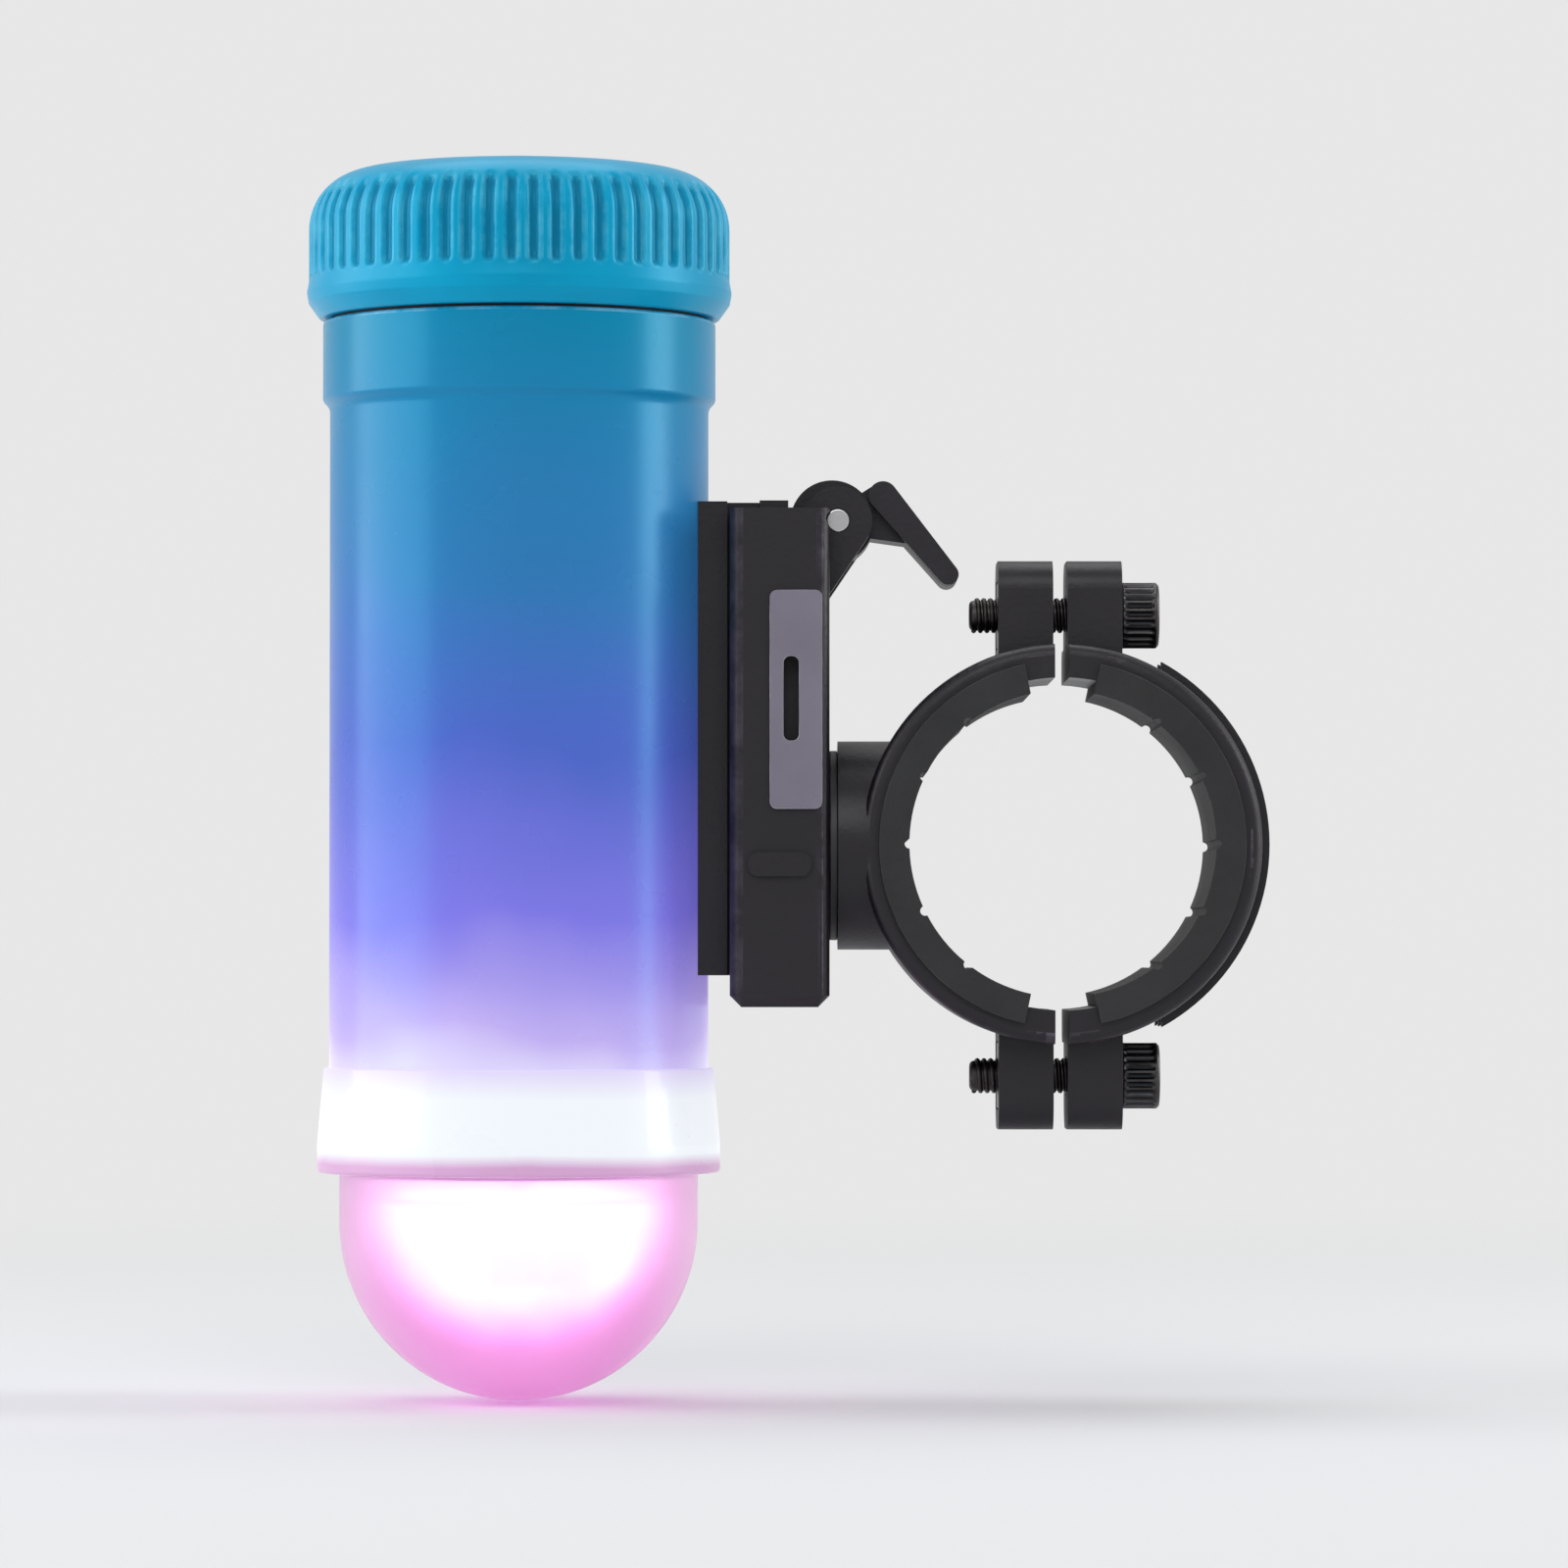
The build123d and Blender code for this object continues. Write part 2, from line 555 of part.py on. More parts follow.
def pattern_lens():
    """The spinning lens: a faceted shell with a stem that grips the motor's shaft."""
    rim = LED_BOARD_LOW - REFLECTOR_HEIGHT - REST_GAP - PATTERN_DROP
    levels = [radians(PATTERN_STEP_ANGLE) * k for k in range(PATTERN_RINGS)]
    sections = [
        Pos(0, 0, rim - PATTERN_RADIUS * sin(a)) * RegularPolygon(PATTERN_RADIUS * cos(a), PATTERN_FACETS)
        for a in levels
    ]
    shell = loft(sections, ruled=True)
    flat = cos(pi / PATTERN_FACETS)
    hollow = PATTERN_RADIUS * flat - PATTERN_WALL
    inside = Pos(0, 0, rim) * Sphere(hollow)
    pole = rim - PATTERN_RADIUS * sin(levels[-1])
    inside -= disc(PATTERN_RADIUS, pole - PATTERN_RADIUS, pole + PATTERN_WALL)
    shell -= inside
    shell += disc(STEM_RADIUS, pole + PATTERN_WALL / 2, SHAFT_END + STEM_GRIP)
    shell -= disc(SHAFT_RADIUS + STEM_FIT, SHAFT_END - REST_GAP, SHAFT_END + 2 * STEM_GRIP)
    return LIGHT_AXIS * shell


def motor_shaft():
    """The motor's shaft, with its inner end inside the can."""
    return LIGHT_AXIS * disc(SHAFT_RADIUS, SHAFT_END, MOTOR_LOW + SHAFT_INSIDE)


def motor_can():
    """The motor's can with its front boss, bored for the shaft."""
    can = turned(
        (0, MOTOR_LOW),
        (MOTOR_RADIUS, MOTOR_LOW, MOTOR_EDGE),
        (MOTOR_RADIUS, MOTOR_TOP),
        (0, MOTOR_TOP),
    )
    can += disc(MOTOR_BOSS_RADIUS, MOTOR_LOW - MOTOR_BOSS_HEIGHT, MOTOR_LOW + MOTOR_EDGE)
    bore = disc(
        SHAFT_RADIUS + BEARING_GAP, MOTOR_LOW - 2 * MOTOR_BOSS_HEIGHT, MOTOR_LOW + SHAFT_INSIDE + REST_GAP
    )
    return LIGHT_AXIS * (can - bore)


def motor_endbell():
    """The moulded plug in the motor's back."""
    bell = turned(
        (0, MOTOR_TOP + FACE_GAP),
        (ENDBELL_RADIUS, MOTOR_TOP + FACE_GAP),
        (ENDBELL_RADIUS, ENDBELL_TOP, MOTOR_EDGE),
        (0, ENDBELL_TOP),
    )
    return LIGHT_AXIS * bell


def motor_terminals():
    """The two upright tags on the motor's back."""
    half = TERMINAL_WIDTH / 2
    tag = block(
        (-STRIP_THICKNESS / 2, STRIP_THICKNESS / 2),
        (-half, half),
        (ENDBELL_TOP + FACE_GAP, ENDBELL_TOP + TERMINAL_HEIGHT),
    )
    return [LIGHT_AXIS * Pos(side * TERMINAL_SPREAD, 0, 0) * tag for side in (-1, 1)]


def chassis():
    """The moulded frame: two discs, the motor's barrel and the ribs between them."""
    barrel_bore = MOTOR_RADIUS + POCKET_GAP
    barrel_radius = barrel_bore + CHASSIS_WALL
    frame = disc(CHASSIS_RADIUS, CHASSIS_LOW, CHASSIS_LOW + CHASSIS_DISC)
    frame += disc(CHASSIS_RADIUS, CHASSIS_DISC_LOW, CHASSIS_TOP)
    rib = block(
        (barrel_bore + CHASSIS_WALL / 2, LEDGE_BORE),
        (-CHASSIS_RIB / 2, CHASSIS_RIB / 2),
        (CHASSIS_LOW, CHASSIS_TOP),
    )
    frame += [Rot(0, 0, angle) * rib for angle in even(CHASSIS_RIBS, CHASSIS_RIB_ANGLE)]
    frame += ring(barrel_radius, barrel_bore, CHASSIS_LOW, MOTOR_TOP - MOTOR_EDGE)
    frame -= disc(MOTOR_BOSS_RADIUS + REST_GAP, CHASSIS_LOW - 1, MOTOR_LOW)
    frame -= disc(barrel_bore, MOTOR_LOW - REST_GAP, CHASSIS_DISC_LOW)
    frame -= block(
        (TUBE_BORE - RAIL_SCREW_HEAD_HEIGHT - 1, TUBE_BORE),
        (-RAIL_SCREW_HEAD_RADIUS - SLIDE_GAP, RAIL_SCREW_HEAD_RADIUS + SLIDE_GAP),
        (CHASSIS_DISC_LOW - 1, CHASSIS_TOP + 1),
    )
    pilot = disc(SMALL_SCREW_RADIUS + THREAD_GAP, CHASSIS_LOW - 1, CHASSIS_LOW + CHASSIS_DISC)
    frame -= around(pilot, LED_SCREW_CIRCLE, even(LED_SCREWS))
    return LIGHT_AXIS * frame


def led_board():
    """The lamp board: a disc with the shaft's hole and three screw holes."""
    board = ring(LED_BOARD_RADIUS, LED_BOARD_BORE, LED_BOARD_LOW, LED_BOARD_TOP)
    hole = disc(SMALL_SCREW_RADIUS + THREAD_GAP, LED_BOARD_LOW - 1, LED_BOARD_TOP + 1)
    board -= around(hole, LED_SCREW_CIRCLE, even(LED_SCREWS))
    return LIGHT_AXIS * board


def leds():
    """The square lamps under the lamp board, each with a round dip for its lens."""
    half = LED_WIDTH / 2
    top = LED_BOARD_LOW - FACE_GAP
    lamp = block((-half, half), (-half, half), (top - LED_HEIGHT, top))
    lamp -= disc(LED_LENS_RADIUS, top - LED_HEIGHT - 1, top - LED_HEIGHT + LED_LENS_DEPTH)
    return [LIGHT_AXIS * each for each in around(lamp, LED_CIRCLE, even(LEDS, LED_ANGLE))]


def led_screws():
    """The screws that hold the lamp board to the chassis."""
    shank = BOARD_THICKNESS + CHASSIS_DISC - REST_GAP
    head_low = LED_BOARD_LOW - FACE_GAP - SMALL_HEAD_HEIGHT
    screw = disc(SMALL_HEAD_RADIUS, head_low, LED_BOARD_LOW - FACE_GAP)
    screw += disc(SMALL_SCREW_RADIUS, head_low, LED_BOARD_LOW + shank)
    return [LIGHT_AXIS * each for each in around(screw, LED_SCREW_CIRCLE, even(LED_SCREWS))]


def reflector_ring():
    """The white cone round the lamps."""
    outer = DOME_RADIUS - DOME_WALL - SLIDE_GAP
    top = LED_BOARD_LOW - FACE_GAP
    low = top - REFLECTOR_HEIGHT
    return LIGHT_AXIS * turned(
        (outer - REFLECTOR_TOP_WALL, top), (outer, top), (outer, low), (outer - REFLECTOR_LOW_WALL, low)
    )


def driver_board():
    """The round board above the motor, with its chips."""
    board = disc(DRIVER_RADIUS, DRIVER_LOW, DRIVER_TOP)
    half = CHIP_SIZE / 2
    chip = block((-half, half), (-half, half), (DRIVER_TOP - FACE_GAP, DRIVER_TOP + CHIP_HEIGHT))
    board += around(chip, CHIP_RADIUS, ARM_ANGLES)
    return LIGHT_AXIS * board


def conical_spring(wide_z, narrow_z, wide=SPRING_WIDE_RADIUS):
    """The space of a small conical contact spring, as a thin cone."""
    cone = turned(
        (wide - SPRING_WIRE, wide_z),
        (wide, wide_z),
        (SPRING_NARROW_RADIUS, narrow_z),
        (SPRING_NARROW_RADIUS - SPRING_WIRE, narrow_z),
    )
    return cone


def board_spring():
    """The spring on the driver board that meets the carrier's lower terminal."""
    low = DRIVER_TOP + FACE_GAP
    high = CARRIER_LOW - CONTACT_THICKNESS - FACE_GAP
    return LIGHT_AXIS * conical_spring(low, high)


def battery_sleeve():
    """The sleeve round the carrier, with a flange at each end and a notch for the strip."""
    flange_top = SLEEVE_LOW + SLEEVE_FLANGE_HEIGHT
    upper_flange = SLEEVE_TOP - SLEEVE_FLANGE_HEIGHT
    sleeve = turned(
        (SLEEVE_BORE, SLEEVE_LOW),
        (DRIVER_RADIUS, SLEEVE_LOW),
        (DRIVER_RADIUS, flange_top),
        (SLEEVE_RADIUS, flange_top),
        (SLEEVE_RADIUS, upper_flange),
        (SLEEVE_FLANGE_RADIUS, upper_flange),
        (SLEEVE_FLANGE_RADIUS, SLEEVE_TOP),
        (SLEEVE_BORE, SLEEVE_TOP),
    )
    half = STRIP_WIDTH / 2 + SLIDE_GAP
    front = SLEEVE_RADIUS + FACE_GAP
    lower = block((-half, half), (front, NECK_BORE), (SLEEVE_LOW - 1, flange_top + 1))
    notch = (front, front + STRIP_THICKNESS + SLIDE_GAP)
    upper = block((-half, half), notch, (upper_flange - 1, SLEEVE_TOP + 1))
    return LIGHT_AXIS * (sleeve - lower - upper)


def contact_strip():
    """The brass strip up the sleeve: a foot on the board and a leaf over the sleeve's flange."""
    half = STRIP_WIDTH / 2
    inner = SLEEVE_RADIUS + 2 * FACE_GAP
    outer = inner + STRIP_THICKNESS
    low = DRIVER_TOP + FACE_GAP
    strip = block((-half, half), (inner, outer), (low, STRIP_TOP))
    strip += block((-half, half), (inner, DRIVER_RADIUS - FACE_GAP), (low, low + STRIP_THICKNESS))
    leaf_low = SLEEVE_TOP + FACE_GAP
    strip += block((-half, half), (SLEEVE_BORE, SLEEVE_FLANGE_RADIUS), (leaf_low, STRIP_TOP))
    return LIGHT_AXIS * strip


def contact_outlines(single, grow):
    """The plates at one end: a link over two cells, and a strip from the third to the middle."""
    chord = 2 * CELL_CIRCLE * sin(radians(60))
    link = SlotCenterToCenter(chord, 2 * (CONTACT_PAD_RADIUS + grow))
    strip = SlotCenterToCenter(CELL_CIRCLE, 2 * (CONTACT_STRIP_HALF_WIDTH + grow))
    opposite = Rot(0, 0, single + HALF_TURN) * Pos(CELL_CIRCLE / 2, 0, 0) * Rot(0, 0, 90)
    return opposite * link, Rot(0, 0, single) * Pos(CELL_CIRCLE / 2, 0, 0) * strip


def carrier_frame():
    """The battery carrier: two discs joined by a three-armed spine with a bed for each cell."""
    frame = disc(CARRIER_RADIUS, CARRIER_LOW, CARRIER_TOP)
    frame -= ring(2 * CARRIER_RADIUS, CARRIER_SPINE_RADIUS, CARRIER_FLOOR, CARRIER_CEILING)
    half = CARRIER_RIB / 2
    arm = block((0, CARRIER_RADIUS - CARRIER_RIM), (-half, half), (CARRIER_FLOOR, CARRIER_CEILING))
    frame += [Rot(0, 0, angle) * arm for angle in ARM_ANGLES]
    frame -= cell_places(disc(CELL_RADIUS + CELL_BED_GAP, CARRIER_FLOOR, CARRIER_CEILING))
    post = CONTACT_POST_RADIUS + REST_GAP
    frame -= disc(post, CARRIER_LOW - 1, CARRIER_FLOOR + 2 * CONTACT_THICKNESS)
    frame -= disc(post, CARRIER_CEILING - 2 * CONTACT_THICKNESS, CARRIER_TOP + 1)
    depth = 2 * CONTACT_THICKNESS
    for low, single in ((CARRIER_FLOOR, CELL_ANGLES[0]), (CARRIER_CEILING - depth, CELL_ANGLES[2])):
        for outline in contact_outlines(single, REST_GAP):
            frame -= extrude(Pos(0, 0, low) * outline, depth)
    return LIGHT_AXIS * frame


def battery_cell(index):
    """One cell. The middle one stands on its head."""
    floor = CARRIER_FLOOR + CONTACT_THICKNESS + FACE_GAP
    ceiling = CARRIER_CEILING - CONTACT_THICKNESS - FACE_GAP
    can = turned(
        (0, 0),
        (CELL_RADIUS, 0, CELL_EDGE),
        (CELL_RADIUS, CELL_LENGTH - CELL_NUB_HEIGHT, CELL_EDGE),
        (CELL_NUB_RADIUS, CELL_LENGTH - CELL_NUB_HEIGHT),
        (CELL_NUB_RADIUS, CELL_LENGTH),
        (0, CELL_LENGTH),
    )
    if index == 1:
        placed = Pos(0, 0, floor + CELL_LENGTH) * Rot(HALF_TURN, 0, 0) * can
    else:
        placed = Pos(0, 0, ceiling - CELL_LENGTH) * can
    return LIGHT_AXIS * Rot(0, 0, CELL_ANGLES[index]) * Pos(CELL_CIRCLE, 0, 0) * placed


def carrier_contacts():
    """At each end, the link between two cells, and the strip that leads out through the disc."""
    inner_low = CARRIER_FLOOR + FACE_GAP
    inner_high = CARRIER_CEILING - CONTACT_THICKNESS - FACE_GAP
    outer_low = CARRIER_LOW - CONTACT_THICKNESS
    ends = ((inner_low, outer_low, CELL_ANGLES[0]), (inner_high, CARRIER_TOP, CELL_ANGLES[2]))
    plates = []
    for inside, outside, single in ends:
        link, strip = contact_outlines(single, 0.0)
        plates.append(extrude(Pos(0, 0, inside) * link, CONTACT_THICKNESS))
        lead = extrude(Pos(0, 0, inside) * strip, CONTACT_THICKNESS)
        lead += disc(CONTACT_POST_RADIUS, min(inside, outside), max(inside, outside) + CONTACT_THICKNESS)
        lead += disc(TERMINAL_RADIUS, outside, outside + CONTACT_THICKNESS)
        plates.append(lead)
    return [LIGHT_AXIS * plate for plate in plates]


def carrier_springs():
    """The spring under each upright cell, and the one over the cell that stands on its head."""
    floor = CARRIER_FLOOR + CONTACT_THICKNESS + 2 * FACE_GAP
    ceiling = CARRIER_CEILING - CONTACT_THICKNESS - 2 * FACE_GAP
    reach = CELL_ROOM - 2 * CONTACT_THICKNESS - 4 * FACE_GAP
    up = conical_spring(floor, floor + reach)
    down = conical_spring(ceiling, ceiling - reach)
    places = zip((up, down, up), CELL_ANGLES)
    return [LIGHT_AXIS * Rot(0, 0, a) * Pos(CELL_CIRCLE, 0, 0) * each for each, a in places]


def end_cap():
    """The screw cap: fluted side over a smooth bead, tapered lip, and the switch's post inside."""
    hole = KEY_RADIUS + KEY_GAP
    bead_middle = (BEAD_LOW + BEAD_TOP) / 2
    cap = turned(
        (CAP_SEAT_RADIUS, CAP_LOW),
        (CAP_RADIUS - CAP_LIP_TAPER, CAP_LOW, TUBE_EDGE),
        (CAP_RADIUS, BEAD_LOW),
        (CAP_RADIUS + CAP_BEAD_PROUD, bead_middle, CAP_BEAD_HEIGHT / 2),
        (CAP_RADIUS, BEAD_TOP),
        (CAP_RADIUS, CAP_SHOULDER, CAP_CROWN_EDGE),
        (hole, CAP_TOP - KEY_PROUD),
        (hole, CAP_CEILING),
        (POST_BORE, CAP_CEILING),
        (POST_BORE, SWITCH_BOARD_TOP + FACE_GAP),
        (POST_RADIUS, SWITCH_BOARD_TOP + FACE_GAP),
        (POST_RADIUS, CAP_CEILING),
        (CAP_BORE - CAP_CORNER, CAP_CEILING),
        (CAP_BORE, CAP_CEILING - CAP_CORNER),
        (CAP_BORE, CAP_SEAT),
        (CAP_SEAT_RADIUS, CAP_SEAT),
    )
    flute = Pos(CAP_RADIUS + FLUTE_SHIFT, 0, 0) * disc(FLUTE_RADIUS, BEAD_TOP, CAP_TOP + 1)
    cap -= [Rot(0, 0, angle) * flute for angle in even(FLUTES)]
    depth = SWITCH_BOARD_LOW + SMALL_SCREW_DEPTH + REST_GAP
    pilot = disc(SMALL_SCREW_RADIUS + THREAD_GAP, SWITCH_BOARD_TOP, depth)
    cap -= around(pilot, SWITCH_SCREW_CIRCLE, even(SWITCH_SCREWS, SWITCH_SCREW_ANGLE))
    return LIGHT_AXIS * cap


def cap_seal():
    """The flat rubber ring on the collar, under the cap's lip."""
    low = COLLAR_TOP + FACE_GAP
    return LIGHT_AXIS * ring(CAP_SEAL_RADIUS, NECK_RADIUS + FACE_GAP, low, low + CAP_SEAL_THICKNESS)


def button_key():
    """The round push button in the cap's top, with the flange that holds it in."""
    key = turned(
        (0, PLUNGER_TOP + FACE_GAP),
        (KEY_RECESS_RADIUS, PLUNGER_TOP + FACE_GAP),
        (KEY_RECESS_RADIUS, KEY_FLANGE_LOW),
        (KEY_FLANGE_RADIUS, KEY_FLANGE_LOW),
        (KEY_FLANGE_RADIUS, KEY_FLANGE_TOP),
        (KEY_RADIUS, KEY_FLANGE_TOP),
        (KEY_RADIUS, CAP_TOP, KEY_EDGE),
        (0, CAP_TOP + KEY_PROUD),
    )
    return LIGHT_AXIS * key


def switch_plunger():
    """The switch's own plunger, under the button."""
    return LIGHT_AXIS * disc(PLUNGER_RADIUS, SWITCH_TOP - PLUNGER_DEPTH, PLUNGER_TOP)


def switch_housing():
    """The switch's square case, bored for its plunger."""
    half = SWITCH_WIDTH / 2
    case = block((-half, half), (-half, half), (SWITCH_BOARD_TOP + FACE_GAP, SWITCH_TOP - FACE_GAP))
    case -= disc(PLUNGER_RADIUS + BEARING_GAP, SWITCH_TOP - SWITCH_BORE_DEPTH, SWITCH_TOP + 1)
    return LIGHT_AXIS * case


def switch_board():
    """The round board that carries the switch, screwed to the post in the cap."""
    board = disc(SWITCH_BOARD_RADIUS, SWITCH_BOARD_LOW, SWITCH_BOARD_TOP)
    hole = disc(SMALL_SCREW_RADIUS + THREAD_GAP, SWITCH_BOARD_LOW - 1, SWITCH_BOARD_TOP + 1)
    board -= around(hole, SWITCH_SCREW_CIRCLE, even(SWITCH_SCREWS, SWITCH_SCREW_ANGLE))
    return LIGHT_AXIS * board


def switch_screws():
    """The screws that hold the switch's board, from below."""
    screw = small_screw(SWITCH_BOARD_LOW - FACE_GAP, down=False)
    places = around(screw, SWITCH_SCREW_CIRCLE, even(SWITCH_SCREWS, SWITCH_SCREW_ANGLE))
    return [LIGHT_AXIS * each for each in places]


def cap_contact_ring():
    """The brass ring under the switch's board, which meets the strip's leaf."""
    outer = SWITCH_BOARD_RADIUS - REST_GAP
    return LIGHT_AXIS * ring(outer, outer - CONTACT_RING_WIDTH, RING_LOW, SWITCH_BOARD_LOW - FACE_GAP / 2)


def cap_spring():
    """The spring under the switch's board that meets the carrier's upper terminal."""
    low = CARRIER_TOP + CONTACT_THICKNESS + FACE_GAP
    return LIGHT_AXIS * conical_spring(SWITCH_BOARD_LOW - FACE_GAP, low)


def clamp_half(side):
    """Half of the ring round the bar, on one side of the split, with a lug at each end."""
    half = CLAMP_WIDTH / 2
    shell = ALONG_Y * turned(
        (CLAMP_BORE, -half),
        (CLAMP_OUTER, -half, CLAMP_EDGE),
        (CLAMP_OUTER, half, CLAMP_EDGE),
        (CLAMP_BORE, half),
    )
    lug = Plane.YZ * RectangleRounded(2 * LUG_HALF_WIDTH, 2 * LUG_TOP, LUG_CORNER)
    lugs = Pos(side * LUG_FACE, 0, 0) * extrude(lug, side * LUG_THICKNESS)
    shell += lugs - ALONG_Y * disc(CLAMP_BORE, -CLAMP_WIDTH, CLAMP_WIDTH)
    reach = 2 * CLAMP_OUTER
    kept = sorted((side * LUG_FACE, side * reach))
    shell &= block(kept, (-reach, reach), (-reach, reach))
    hole = ALONG_X * disc(SCREW_RADIUS + SCREW_GAP, -reach, reach)
    return shell - [Pos(0, 0, z) * hole for z in (SCREW_Z, -SCREW_Z)]


def clamp_base():
    """The clamp's front half, with the swivel boss and the pockets for three nuts."""
    boss = ALONG_X * disc(BOSS_RADIUS, BOSS_X, -CLAMP_BORE / 2)
    base = clamp_half(-1) + (boss - ALONG_Y * disc(CLAMP_BORE, -CLAMP_WIDTH, CLAMP_WIDTH))
    base -= ALONG_X * disc(SWIVEL_SCREW_RADIUS + SCREW_GAP, BOSS_X - 1, 0)
    pocket = SWIVEL_NUT_THICKNESS + 2 * POCKET_GAP
    base -= ALONG_X * hexagon(NUT_WIDTH + 2 * POCKET_GAP, -CLAMP_BORE - pocket, 0)
    half = NUT_WIDTH / 2 + POCKET_GAP
    square = block((-LUG_BACK - 1, -NUT_SEAT), (-half, half), (-half, half))
    return base - [Pos(0, 0, z) * square for z in (SCREW_Z, -SCREW_Z)]


def clamp_cap():
    """The clamp's rear half, with three stiffening ribs round its back."""
    cap = clamp_half(1)
    rib_radius = CLAMP_OUTER + CLAMP_RIB_HEIGHT
    clear = LUG_BACK + SCREW_HEAD_HEIGHT
    behind = block((clear, 2 * rib_radius), (-CLAMP_WIDTH, CLAMP_WIDTH), (-rib_radius, rib_radius))
    half = CLAMP_RIB_WIDTH / 2
    for step in (-1, 0, 1):
        middle = step * CLAMP_RIB_STEP
        rib = ALONG_Y * ring(rib_radius, CLAMP_BORE + CLAMP_WALL / 2, middle - half, middle + half)
        cap += rib & behind
    return cap


def pad(side):
    """A rubber pad inside one half, with a flange over each edge and grooves along the bar."""
    half = CLAMP_WIDTH / 2 + FACE_GAP
    edge = half + PAD_FLANGE_THICKNESS
    flange = PAD_OUTER + PAD_FLANGE_HEIGHT
    section = Polyline(
        (PAD_BORE, 0, -edge),
        (flange, 0, -edge),
        (flange, 0, -half),
        (PAD_OUTER, 0, -half),
        (PAD_OUTER, 0, half),
        (flange, 0, half),
        (flange, 0, edge),
        (PAD_BORE, 0, edge),
        close=True,
    )
    turn = Rot(0, 0, -PAD_ARC_ANGLE / 2) if side > 0 else Rot(0, 0, HALF_TURN - PAD_ARC_ANGLE / 2)
    liner = turn * revolve(make_face(section), Axis.Z, PAD_ARC_ANGLE)
    middle = 0.0 if side > 0 else HALF_TURN
    steps = [k - (PAD_GROOVES - 1) / 2 for k in range(PAD_GROOVES)]
    groove = disc(PAD_GROOVE_RADIUS, -2 * edge, 2 * edge)
    liner -= around(groove, PAD_BORE, [middle + PAD_GROOVE_ANGLE * step for step in steps])
    return ALONG_Y * liner


def clamp_screw(z):
    """A socket-head screw through both lugs, from behind."""
    seat = LUG_BACK + FACE_GAP
    top = seat + SCREW_HEAD_HEIGHT
    screw = disc(SCREW_RADIUS, seat - SCREW_LENGTH, seat) + disc(SCREW_HEAD_RADIUS, seat, top)
    screw -= hexagon(sqrt(3) * SCREW_SOCKET_RADIUS, top - SCREW_SOCKET_DEPTH, top + 1)
    return Pos(0, 0, z) * ALONG_X * screw


def clamp_nuts():
    """The two square nuts in the front half's lugs."""
    half = NUT_WIDTH / 2
    face = -NUT_SEAT - FACE_GAP
    nut = block((face - CLAMP_NUT_THICKNESS, face), (-half, half), (-half, half))
    nut -= ALONG_X * disc(SCREW_RADIUS + THREAD_GAP, -2 * LUG_BACK, 0)
    return [Pos(0, 0, z) * nut for z in (SCREW_Z, -SCREW_Z)]


def swivel_washer():
    """The washer between the bracket and the clamp's boss."""
    return ALONG_X * ring(
        WASHER_RADIUS, SWIVEL_SCREW_RADIUS + SCREW_GAP, WASHER_X - WASHER_THICKNESS, WASHER_X
    )


def swivel_screw():
    """The low-head screw that the bracket turns on."""
    seat = HEAD_SEAT_X - FACE_GAP
    screw = disc(SWIVEL_HEAD_RADIUS, seat - SWIVEL_HEAD_HEIGHT, seat)
    screw += disc(SWIVEL_SCREW_RADIUS, seat, -CLAMP_BORE - POCKET_GAP)
    top = seat - SWIVEL_HEAD_HEIGHT
    screw -= hexagon(sqrt(3) * SWIVEL_SOCKET_RADIUS, top - 1, top + SWIVEL_SOCKET_DEPTH)
    return ALONG_X * screw


def swivel_nut():
    """The nut in the clamp's boss."""
    low = -CLAMP_BORE - POCKET_GAP - SWIVEL_NUT_THICKNESS
    nut = hexagon(NUT_WIDTH, low, low + SWIVEL_NUT_THICKNESS)
    return ALONG_X * (nut - disc(SWIVEL_SCREW_RADIUS + THREAD_GAP, 2 * low, 0))


def ears():
    """The two ears at the shoe's top that carry the lever's pin."""
    foot = Pos(SHOE_BACK_X - SHOE_BACK_WALL / 2, SHOE_TOP - EAR_FOOT / 2) * Rectangle(EAR_ROOT, EAR_FOOT)
    nose = Pos(PIN_X, PIN_Z) * Circle(EAR_RADIUS)
    side = Plane.XZ * make_hull((foot + nose).edges())
    ear = extrude(side, -EAR_THICKNESS)
    return [Pos(0, EAR_INNER, 0) * ear, Pos(0, -EAR_OUTER, 0) * ear]


def side_shape(width, height, corner, thickness, x, low):
    """A rounded plate that stands in the XZ plane, from Y = 0 towards +Y."""
    face = Plane.XZ * Pos(x, low + height / 2) * RectangleRounded(width, height, corner)
    return extrude(face, -thickness)


def plate_cutter(grow, thickness):
    """The side plate's outline, grown all round by a clearance."""
    width = PLATE_WIDTH + 2 * grow
    height = PLATE_HEIGHT + 2 * grow
    return side_shape(width, height, PLATE_CORNER + grow, thickness, PLATE_X, PLATE_LOW - grow)


def window(depth):
    """The upright slot of a side plate, and of the pocket behind it."""
    return side_shape(WINDOW_WIDTH, WINDOW_HEIGHT, WINDOW_WIDTH * 0.45, depth, WINDOW_X, WINDOW_LOW)


